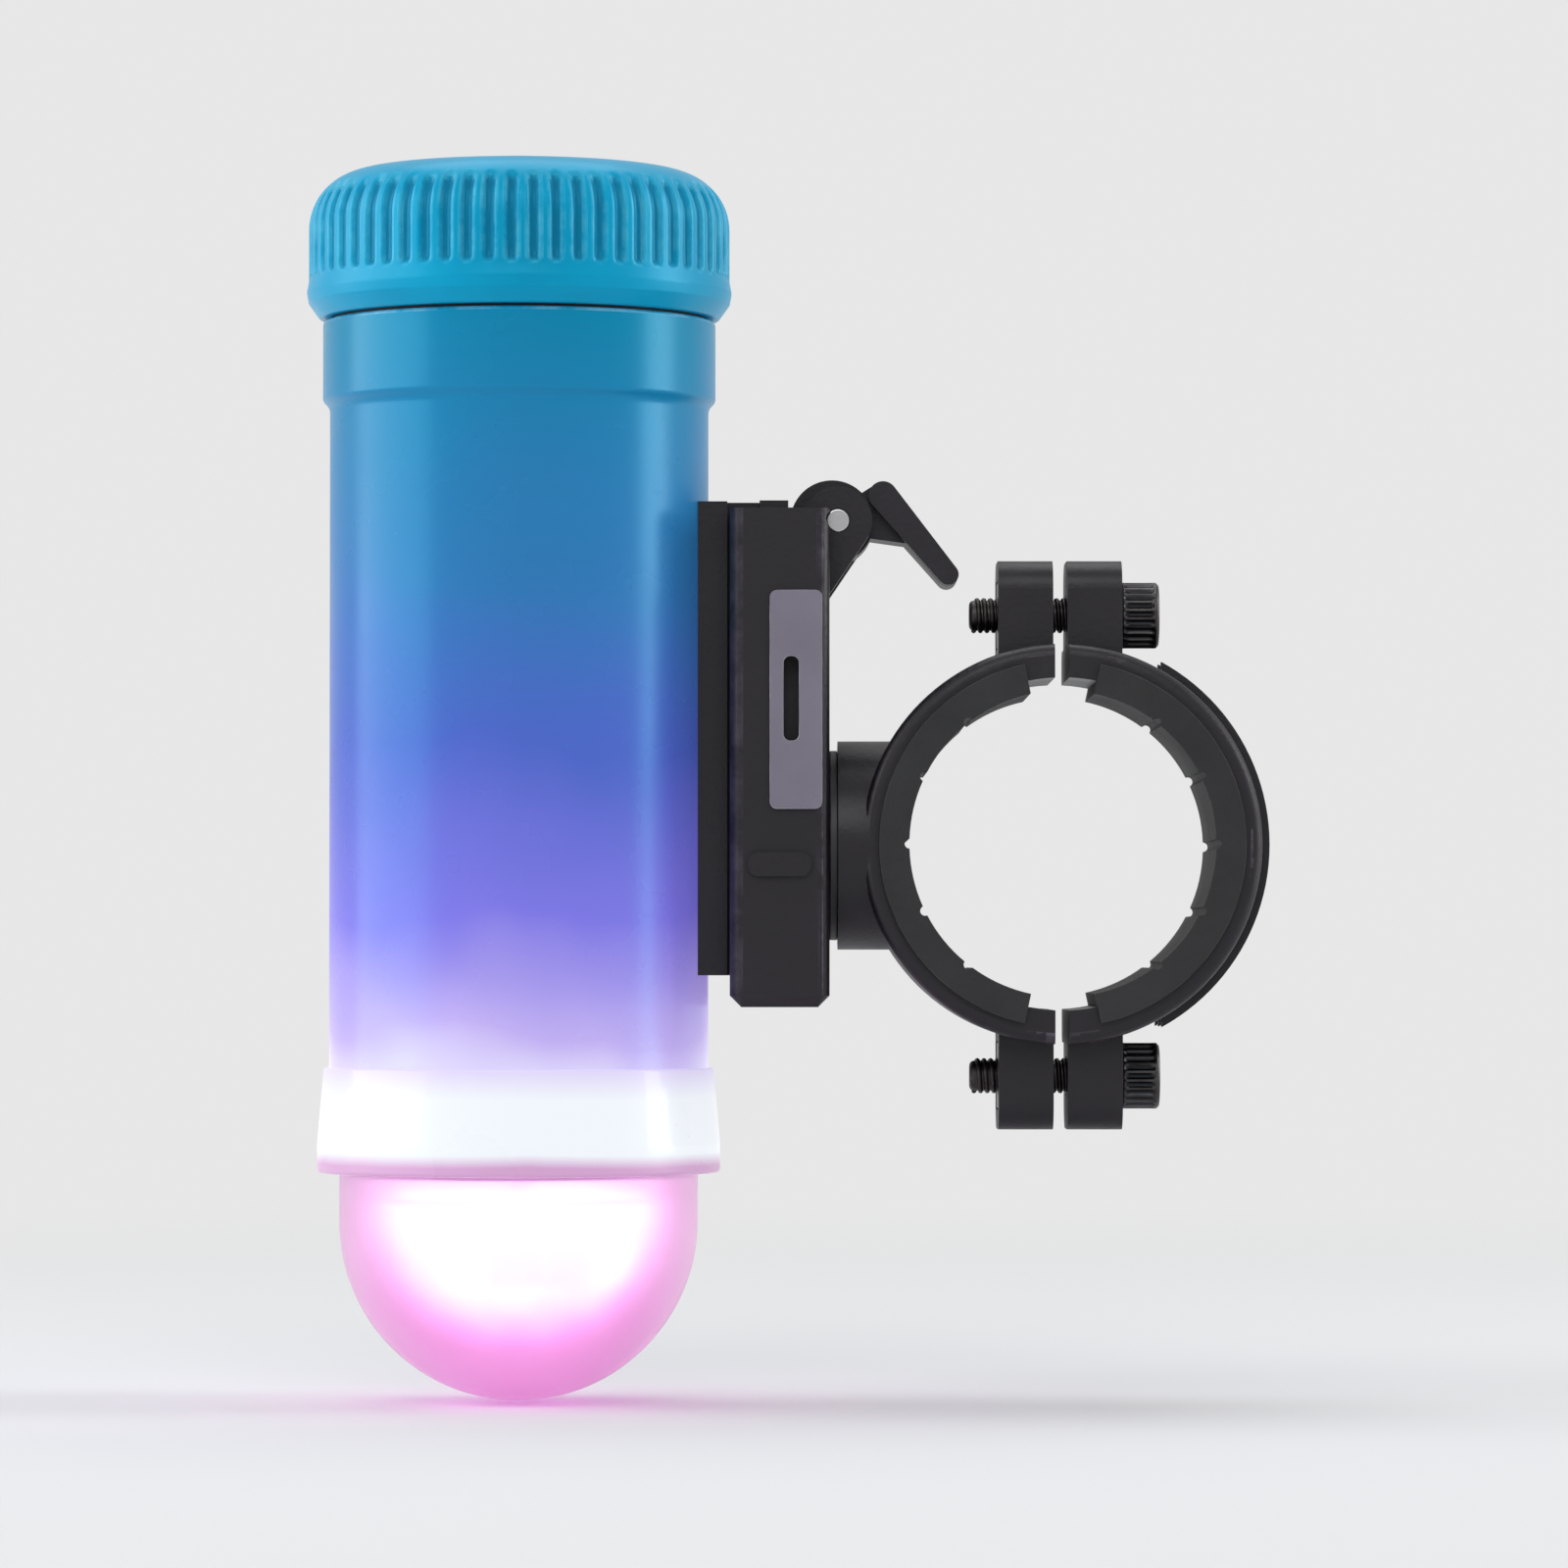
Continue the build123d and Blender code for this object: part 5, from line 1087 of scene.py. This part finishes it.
class BIKELIGHT_OT_cap(bpy.types.Operator):
    """Make the fluted screw cap and its inner thread"""

    bl_idname = "bike_light.cap"
    bl_label = "Screw cap"
    bl_options = {"REGISTER", "UNDO"}

    def execute(self, context):
        lip = softened([
            (CAP_SEAT_RADIUS, CAP_LOW, 0.2), (CAP_RADIUS - 1.15, CAP_LOW, 0.45), (CAP_RADIUS, BEAD_LOW, 0.5),
            (CAP_RADIUS + 0.22, (BEAD_LOW + BEAD_TOP) / 2, 1.1), (CAP_RADIUS, BEAD_TOP),
            (CAP_SEAT_RADIUS, BEAD_TOP),
        ])[:-2]
        # rings close together where the flutes fade in
        side = [(CAP_RADIUS, BEAD_TOP + 0.15 * step) for step in range(7)]
        side += [(CAP_RADIUS, 61.2 + step) for step in range(4)]
        crown = []
        for step in range(21):
            angle = math.radians(4.3 * step)
            crown.append((
                CAP_RADIUS - CAP_CROWN_EDGE + CAP_CROWN_EDGE * math.cos(angle),
                CAP_SHOULDER - CAP_CROWN_EDGE + CAP_CROWN_EDGE * math.sin(angle),
            ))
        inner = softened([
            crown[-1], *CAP_TOP_RINGS, (KEY_HOLE, 71.98, 0.25), (KEY_HOLE, CAP_CEILING, 0.1),
            (POST_BORE, CAP_CEILING), (POST_BORE, POST_END, 0.2), (POST_RADIUS, POST_END, 0.2),
            (POST_RADIUS, CAP_CEILING), (CAP_BORE - 2.0, CAP_CEILING, 0.5),
            (CAP_BORE, CAP_CEILING - 2.0, 0.5), (CAP_BORE, CAP_SEAT, 0.2),
            (CAP_SEAT_RADIUS, CAP_SEAT), (CAP_SEAT_RADIUS, CAP_LOW + 0.4),
        ])[1:-1]
        shell = mesh_object("cap_shell", lathe(lip + side + crown + inner, 720), "cap")
        run_group(shell, "Flutes", {
            "Count": sizes().flutes, "Cutter radius": sizes().flute_radius, "Cutter lift": 0.1 * MM,
            "Rounding": sizes().flute_rounding, "Centre": axis_centre(0.0), "Low": (BEAD_TOP + 0.1) * MM,
            "High": FLUTES_TOP * MM, "Fade": 0.9 * MM, "Inner limit": 20.2 * MM,
        }, "cap")
        place(smooth(shell), "cap", "cap", "end_cap")
        ridge = thread(
            "cap_thread", "cap", axis_centre(CAP_THREAD_LOW), CAP_TURNS, sizes().thread_pitch, CAP_BORE * MM,
            0.5 * MM, 400, 10,
        )
        place(ridge, "cap", "cap")
        return {"FINISHED"}


class BIKELIGHT_OT_button(bpy.types.Operator):
    """Make the push button in the cap"""

    bl_idname = "bike_light.button"
    bl_label = "Button"
    bl_options = {"REGISTER", "UNDO"}

    def execute(self, context):
        spun("button_top", softened(KEY_OUTLINE), "button", "key", "button_key", 96)
        return {"FINISHED"}


class BIKELIGHT_OT_lens_end(bpy.types.Operator):
    """Make the bezel ring, the clear dome and the seal between them and the tube"""

    bl_idname = "bike_light.lens_end"
    bl_label = "Lens end"
    bl_options = {"REGISTER", "UNDO"}

    def execute(self, context):
        ring = softened([
            (BEZEL_BORE, BEZEL_TOP), (BEZEL_BORE + 0.45, BEZEL_TOP, 0.3), (BEZEL_RADIUS, TUBE_END, 3.0),
            (BEZEL_RADIUS, BEZEL_LOW, 0.4), (DOME_RADIUS + 0.2, BEZEL_LOW, 0.2),
            (DOME_RADIUS + 0.2, BEZEL_LIP_TOP, 0.1), (BEZEL_BORE, BEZEL_LIP_TOP),
        ])
        spun("bezel", ring, "light", "bezel", "bezel_ring", 192)
        rim = TUBE_RADIUS - 0.05
        inner = DOME_RADIUS - DOME_WALL
        dome = softened([
            (inner, DOME_TOP, 0.15), (rim, DOME_TOP, 0.15), (rim, DOME_FLANGE_LOW, 0.15),
            (DOME_RADIUS, DOME_FLANGE_LOW, 0.25), (DOME_RADIUS, DOME_CENTRE + 1.0),
        ])
        dome += arc(DOME_RADIUS, DOME_CENTRE, 0, 90, 40) + arc(inner, DOME_CENTRE, 90, 0, 36)
        spun("dome", dome, "light", "clear", "dome_lens", 160)
        dress("lens_seal", "rubber")
        dress("cap_seal", "rubber")
        return {"FINISHED"}


class BIKELIGHT_OT_optics(bpy.types.Operator):
    """Make the faceted lens that spins in the dome"""

    bl_idname = "bike_light.optics"
    bl_label = "Spinning optics"
    bl_options = {"REGISTER", "UNDO"}

    def execute(self, context):
        lens = from_cad("pattern_lens", "rotor", "clear", 0.12, "faceted_lens", 12.0, 2, "pattern")
        chance = random.Random(7)
        smallest = 0.4 * MM ** 2  # a face under this size is the rounding between two facets
        store(lens, "facet", "FACE", [
            chance.uniform(0.0, 0.85) if face.area > smallest else 1.0 for face in lens.data.polygons
        ])
        dress("motor_shaft", "steel")
        return {"FINISHED"}


class BIKELIGHT_OT_lamps(bpy.types.Operator):
    """Make the lamps, their board, its screws and the white cone round them"""

    bl_idname = "bike_light.lamps"
    bl_label = "Lamps"
    bl_options = {"REGISTER", "UNDO"}

    def execute(self, context):
        work = bmesh.new()
        for half, low, high in (
            (LAMP_HALF, LAMP_TOP - LAMP_STEP, LAMP_TOP),
            (LAMP_NARROW_HALF, LAMP_TOP - LAMP_HEIGHT, LAMP_TOP - LAMP_STEP),
        ):
            made = bmesh.ops.create_cube(work, size=1.0)["verts"]
            bmesh.ops.scale(work, vec=(2 * half * MM, 2 * half * MM, (high - low) * MM), verts=made)
            bmesh.ops.translate(work, vec=(LAMP_CIRCLE * MM, 0, (high + low) / 2 * MM), verts=made)
        body = smooth(mesh_object("lamp_body", work, "led"), 0.12)
        foot = LAMP_TOP - LENS_FOOT
        outline = [(0.0, foot), (LENS_RADIUS, foot)]
        for step in range(1, 11):
            angle = math.radians(9 * step)
            outline.append((
                LENS_RADIUS * math.cos(angle), LAMP_TOP - LAMP_HEIGHT - LENS_RISE * math.sin(angle),
            ))
        lens = smooth(mesh_object("lamp_lens", lathe(outline, 32, LAMP_CIRCLE * MM), "led"))
        for part, value in ((body, 0.0), (lens, 1.0)):
            store(part, "lens", "POINT", [value] * len(part.data.vertices))
        ringed(joined("lamp_set", [body, lens], "led"), 6, 30.0, "led", "leds")
        rounded(("led_board", "light", "led_board", 0.08), ("reflector_ring", "light", "white", 0.1))
        screw = lathe(softened(LED_SCREW_OUTLINE), 32, LED_SCREW_CIRCLE * MM)
        ringed(smooth(mesh_object("lamp_screw", screw, "steel")), 3, 0.0, "steel", "led_screws")
        return {"FINISHED"}


class BIKELIGHT_OT_motor(bpy.types.Operator):
    """Dress the motor and the frame that holds it"""

    bl_idname = "bike_light.motor"
    bl_label = "Motor and chassis"
    bl_options = {"REGISTER", "UNDO"}

    def execute(self, context):
        rounded(
            ("chassis", "light", "white", 0.12), ("motor_can", "light", "motor", 0.1),
            ("motor_endbell", "light", "inner_black", 0.1), ("motor_terminals", "light", "contact", 0.05),
        )
        return {"FINISHED"}


class BIKELIGHT_OT_boards(bpy.types.Operator):
    """Dress the driver board and the switch with its board"""

    bl_idname = "bike_light.boards"
    bl_label = "Boards and switch"
    bl_options = {"REGISTER", "UNDO"}

    def execute(self, context):
        board = from_cad("driver_board", "light", "board", 0.06)
        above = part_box("driver_board")[0].z + 1.65 * MM  # faces higher than this are on chips
        store(board, "chip", "FACE", [float(face.center.z > above) for face in board.data.polygons])
        rounded(
            ("switch_board", "cap", "board", 0.06), ("switch_housing", "cap", "inner_black", 0.1),
            ("switch_plunger", "button", "inner_black", 0.15), ("cap_contact_ring", "cap", "contact", 0.04),
            ("switch_screws", "cap", "steel", 0.1),
        )
        return {"FINISHED"}


class BIKELIGHT_OT_battery(bpy.types.Operator):
    """Dress the battery's sleeve, carrier, cells and contacts"""

    bl_idname = "bike_light.battery"
    bl_label = "Battery"
    bl_options = {"REGISTER", "UNDO"}

    def execute(self, context):
        rounded(
            ("battery_sleeve", "light", "white", 0.1), ("contact_strip", "light", "contact", 0.05),
            ("carrier_frame", "light", "inner_black", 0.1), ("carrier_contacts", "light", "contact", 0.05),
        )
        for number in (1, 2, 3):
            node = f"battery_cell_{number}"
            cell = from_cad(node, "light", "cell", 0.0)
            low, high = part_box(node)
            x, y = (low.x + high.x) / 2, (low.y + high.y) / 2
            spots = [corner.co for corner in cell.data.vertices]
            inside = [math.hypot(spot.x - x, spot.y - y) < CELL_END * MM for spot in spots]
            rise = [(spot.z - low.z) / (high.z - low.z) for spot in spots]
            if number == 2:  # the second cell stands the other way up
                rise = [1.0 - share for share in rise]
            store(cell, "bare", "FACE", [
                float(all(inside[corner] for corner in face.vertices)) for face in cell.data.polygons
            ])
            store(cell, "rise", "POINT", rise)
        return {"FINISHED"}


class BIKELIGHT_OT_springs(bpy.types.Operator):
    """Wind the contact springs"""

    bl_idname = "bike_light.springs"
    bl_label = "Springs"
    bl_options = {"REGISTER", "UNDO"}

    def execute(self, context):
        for node, body in (("board_spring", "light"), ("cap_spring", "cap")):
            low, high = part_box(node)
            made = spring(node + "_coil", LIGHT_X, 0.0, low.z, high.z - low.z, node == "board_spring")
            place(made, body, "spring", node)
        parts = []
        for number in range(3):
            angle = math.radians(120.0 * number)
            x, y = LIGHT_X + CELL_CIRCLE * MM * math.cos(angle), CELL_CIRCLE * MM * math.sin(angle)
            low = CARRIER_TOP - CELL_SPRING if number == 1 else CARRIER_FLOOR
            parts.append(spring(f"cell_spring_{number}", x, y, low * MM, CELL_SPRING * MM, number != 1))
        place(joined("carrier_coils", parts, "spring"), "light", "spring", "carrier_springs")
        return {"FINISHED"}


class BIKELIGHT_OT_bracket(bpy.types.Operator):
    """Make the bracket, its side plates, the cam lever and the light's rail"""

    bl_idname = "bike_light.bracket"
    bl_label = "Bracket"
    bl_options = {"REGISTER", "UNDO"}

    def execute(self, context):
        rounded(
            ("bracket_shoe", "bracket", "moulded", None, "shoe"),
            ("side_plate_left", "bracket", "plate", 0.2, "plate_left"),
            ("side_plate_right", "bracket", "plate", 0.2, "plate_right"),
            ("cam_lever", "lever", "moulded", None, "lever_arm"), ("lever_pin", "bracket", "steel", 0.2),
            ("tube_rail", "light", "moulded", 0.25, "rail"), ("rail_screws", "light", "steel", 0.12),
        )
        return {"FINISHED"}


class BIKELIGHT_OT_swivel(bpy.types.Operator):
    """Make the swivel's washer, screw and nut"""

    bl_idname = "bike_light.swivel"
    bl_label = "Swivel"
    bl_options = {"REGISTER", "UNDO"}

    def execute(self, context):
        rounded(
            ("swivel_washer", "clamp", "inner_black", 0.12), ("swivel_screw", "clamp", "steel", 0.12),
            ("swivel_nut", "clamp", "steel", 0.15),
        )
        return {"FINISHED"}


class BIKELIGHT_OT_clamp(bpy.types.Operator):
    """Make the two halves of the handlebar clamp and their rubber pads"""

    bl_idname = "bike_light.clamp"
    bl_label = "Handlebar clamp"
    bl_options = {"REGISTER", "UNDO"}

    def execute(self, context):
        rounded(
            ("clamp_base", "clamp", "moulded", None, "clamp_front"),
            ("clamp_cap", "clamp_rear", "moulded", None, "clamp_back"),
            ("pad_front", "clamp", "rubber", 0.15, "pad_front_liner"),
            ("pad_rear", "clamp_rear", "rubber", 0.15, "pad_rear_liner"),
        )
        return {"FINISHED"}


class BIKELIGHT_OT_clamp_screws(bpy.types.Operator):
    """Make the clamp's socket-head screws, with knurled heads and threads, and their square nuts"""

    bl_idname = "bike_light.clamp_screws"
    bl_label = "Clamp screws"
    bl_options = {"REGISTER", "UNDO"}

    def execute(self, context):
        side, seat, end = HEAD_RADIUS - 0.02, -HEAD_HEIGHT, -HEAD_HEIGHT - SCREW_LENGTH
        outline = softened([
            (0.0, -SOCKET_DEPTH - 0.6), (SOCKET_RADIUS - 0.1, -SOCKET_DEPTH, 0.1),
            (SOCKET_RADIUS, -SOCKET_DEPTH + 0.1), (SOCKET_RADIUS, -0.12), (SOCKET_RADIUS + 0.18, 0.0),
            (HEAD_RADIUS - 0.3, 0.0, 0.1), (HEAD_RADIUS - 0.05, -0.25), (side, -0.4),
        ])
        outline += [(side, -0.55 - 0.3 * step) for step in range(11)]
        outline += softened([
            (side, seat + 0.25), (HEAD_RADIUS - 0.2, seat, 0.1), (SCREW_CORE, seat, 0.15),
            (SCREW_CORE, end, 0.5), (0.0, end),
        ])
        pitch = sizes().screw_pitch
        turns = (SCREW_LENGTH - 1.2) * MM / pitch
        for name, body, height in (
            ("clamp_screw_upper", "screw_upper", SCREW_HEIGHT),
            ("clamp_screw_lower", "screw_lower", -SCREW_HEIGHT),
        ):
            shank = mesh_object("shank", hexagon(lathe(outline, 192, 0.0), SOCKET_RADIUS), "black_steel")
            run_group(shank, "Flutes", {
                "Count": 24, "Cutter radius": 0.3 * MM, "Cutter lift": 0.0, "Rounding": 0.04 * MM,
                "Low": (seat + 0.25) * MM, "High": -0.45 * MM, "Fade": 0.35 * MM,
                "Inner limit": (HEAD_RADIUS - 0.15) * MM,
            }, "black_steel")
            ridge = thread(
                "ridge", "black_steel", (0.0, 0.0, (end + 0.5) * MM), turns, pitch, SCREW_CORE * MM,
                (SCREW_OUTER - SCREW_CORE) * MM, 700, 6,
            )
            made = joined(name + "_set", [smooth(shank), ridge], "black_steel")
            spot = Matrix.Translation((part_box(name)[1].x, 0.0, height * MM))
            made.data.transform(spot @ Matrix.Rotation(math.pi / 2, 4, "Y"))
            place(made, body, "black_steel", name)
        from_cad("clamp_nuts", "clamp", "steel", 0.2, look="zinc")
        return {"FINISHED"}


class BIKELIGHT_OT_stage(bpy.types.Operator):
    """Set up the floor, the soft studio light and the camera"""

    bl_idname = "bike_light.stage"
    bl_label = "Studio"
    bl_options = {"REGISTER", "UNDO"}

    def execute(self, context):
        scene = bpy.context.scene
        scene.view_settings.view_transform = "Standard"
        net = new_finish("Studio floor")
        path = net.node("ShaderNodeLightPath").outputs
        seen = net("MAXIMUM", path["Is Glossy Ray"], path["Is Transmission Ray"])
        seen = net("MAXIMUM", path["Is Camera Ray"], seen)
        # the floor fades into the backdrop, starting 12 centimetres from the part's middle
        apart = net.get("ShaderNodeVectorMath", {
            0: net.where(), 1: (-0.03, 0.0, FLOOR * MM),
        }, "Value", operation="DISTANCE")
        away = net("*", net.span(apart, 0.12, 0.6, smooth=True), seen)
        floor_finish = surface(net, {
            "Base Color": net.blend(away, shade(226, 227, 229), (0.0, 0.0, 0.0)), "Roughness": 0.9,
            "Specular IOR Level": 0.0, "Emission Color": (1.0, 1.0, 1.0),
            "Emission Strength": net("*", away, BACKDROP),
        })
        work = bmesh.new()
        bmesh.ops.create_grid(work, x_segments=1, y_segments=1, size=3.0)
        bmesh.ops.translate(work, vec=(0.0, 0.0, FLOOR * MM), verts=work.verts)
        mesh = bpy.data.meshes.new("studio_floor")
        work.to_mesh(mesh)
        work.free()
        mesh.materials.append(floor_finish)
        floor = bpy.data.objects.new("studio_floor", mesh)
        scene.collection.objects.link(floor)
        world = bpy.data.worlds.new("Studio")
        scene.world = world
        world.use_nodes = True
        world.node_tree.nodes.clear()
        sky = Net(world.node_tree)
        path = sky.node("ShaderNodeLightPath").outputs
        seen = sky("MAXIMUM", path["Is Camera Ray"], path["Is Transmission Ray"])
        seen = sky("MAXIMUM", seen, sky("*", path["Is Glossy Ray"], 0.6))
        level = sky.span(seen, 0.0, 1.0, 0.4, BACKDROP)
        back = sky.get("ShaderNodeBackground", {"Color": (1.0, 1.0, 1.0), "Strength": level})
        sky.node("ShaderNodeOutputWorld", {"Surface": back})
        sky.tidy()
        for name, spot, width, height, power in (
            ("Left softbox", (-0.95, -0.12, 0.05), 1.0, 1.3, 12.0),
            ("Right softbox", (0.86, 0.02, 0.05), 0.34, 1.3, 7.5),
            ("Front softbox", (-0.1, -1.3, 0.9), 1.0, 0.8, 5.4),
            ("Top softbox", (-0.05, 0.35, 1.3), 1.0, 1.0, 6.0),
        ):
            lamp = bpy.data.lights.new(name, "AREA")
            lamp.shape, lamp.size, lamp.size_y, lamp.energy = "RECTANGLE", width, height, power
            stand = bpy.data.objects.new(name, lamp)
            stand.location = spot
            aim = Vector(axis_centre(10.0)) - Vector(spot)
            stand.rotation_euler = aim.to_track_quat("-Z", "Y").to_euler()
            scene.collection.objects.link(stand)
        lens = bpy.data.cameras.new("Camera")
        lens.lens, lens.sensor_width = FOCAL_LENGTH, SENSOR_WIDTH
        camera = bpy.data.objects.new("Camera", lens)
        camera.location = CAMERA_SPOT
        camera.rotation_mode = "QUATERNION"
        aim = Vector(CAMERA_AIM) - Vector(CAMERA_SPOT)
        camera.rotation_quaternion = aim.to_track_quat("-Z", "Y")
        scene.collection.objects.link(camera)
        scene.camera = camera
        return {"FINISHED"}


STEPS = (
    BIKELIGHT_OT_tube, BIKELIGHT_OT_cap, BIKELIGHT_OT_button, BIKELIGHT_OT_lens_end, BIKELIGHT_OT_optics,
    BIKELIGHT_OT_lamps, BIKELIGHT_OT_motor, BIKELIGHT_OT_boards, BIKELIGHT_OT_battery, BIKELIGHT_OT_springs,
    BIKELIGHT_OT_bracket, BIKELIGHT_OT_swivel, BIKELIGHT_OT_clamp, BIKELIGHT_OT_clamp_screws,
    BIKELIGHT_OT_stage,
)


class BIKELIGHT_PT_panel(bpy.types.Panel):
    """The light's sizes, colours and steps"""

    bl_idname = "BIKELIGHT_PT_panel"
    bl_label = "Bike Light"
    bl_space_type = "VIEW_3D"
    bl_region_type = "UI"
    bl_category = "Bike Light"

    def draw(self, context):
        for title, values in (("Sizes", sizes()), ("Colours", colours())):
            box = self.layout.box()
            box.label(text=title)
            for name in values.__class__.__annotations__:
                box.prop(values, name)
        for step in STEPS:
            self.layout.operator(step.bl_idname)


CLASSES = (LightSizes, LightColours, *STEPS, BIKELIGHT_PT_panel)


def register():
    for made in CLASSES:
        bpy.utils.register_class(made)
    bpy.types.Scene.bike_light_sizes = bpy.props.PointerProperty(type=LightSizes)
    bpy.types.Scene.bike_light_colours = bpy.props.PointerProperty(type=LightColours)


def unregister():
    del bpy.types.Scene.bike_light_colours
    del bpy.types.Scene.bike_light_sizes
    for made in reversed(CLASSES):
        bpy.utils.unregister_class(made)


def main():
    register()
    for step in STEPS:
        family, name = step.bl_idname.split(".")
        getattr(getattr(bpy.ops, family), name)()


if __name__ == "__main__":
    main()
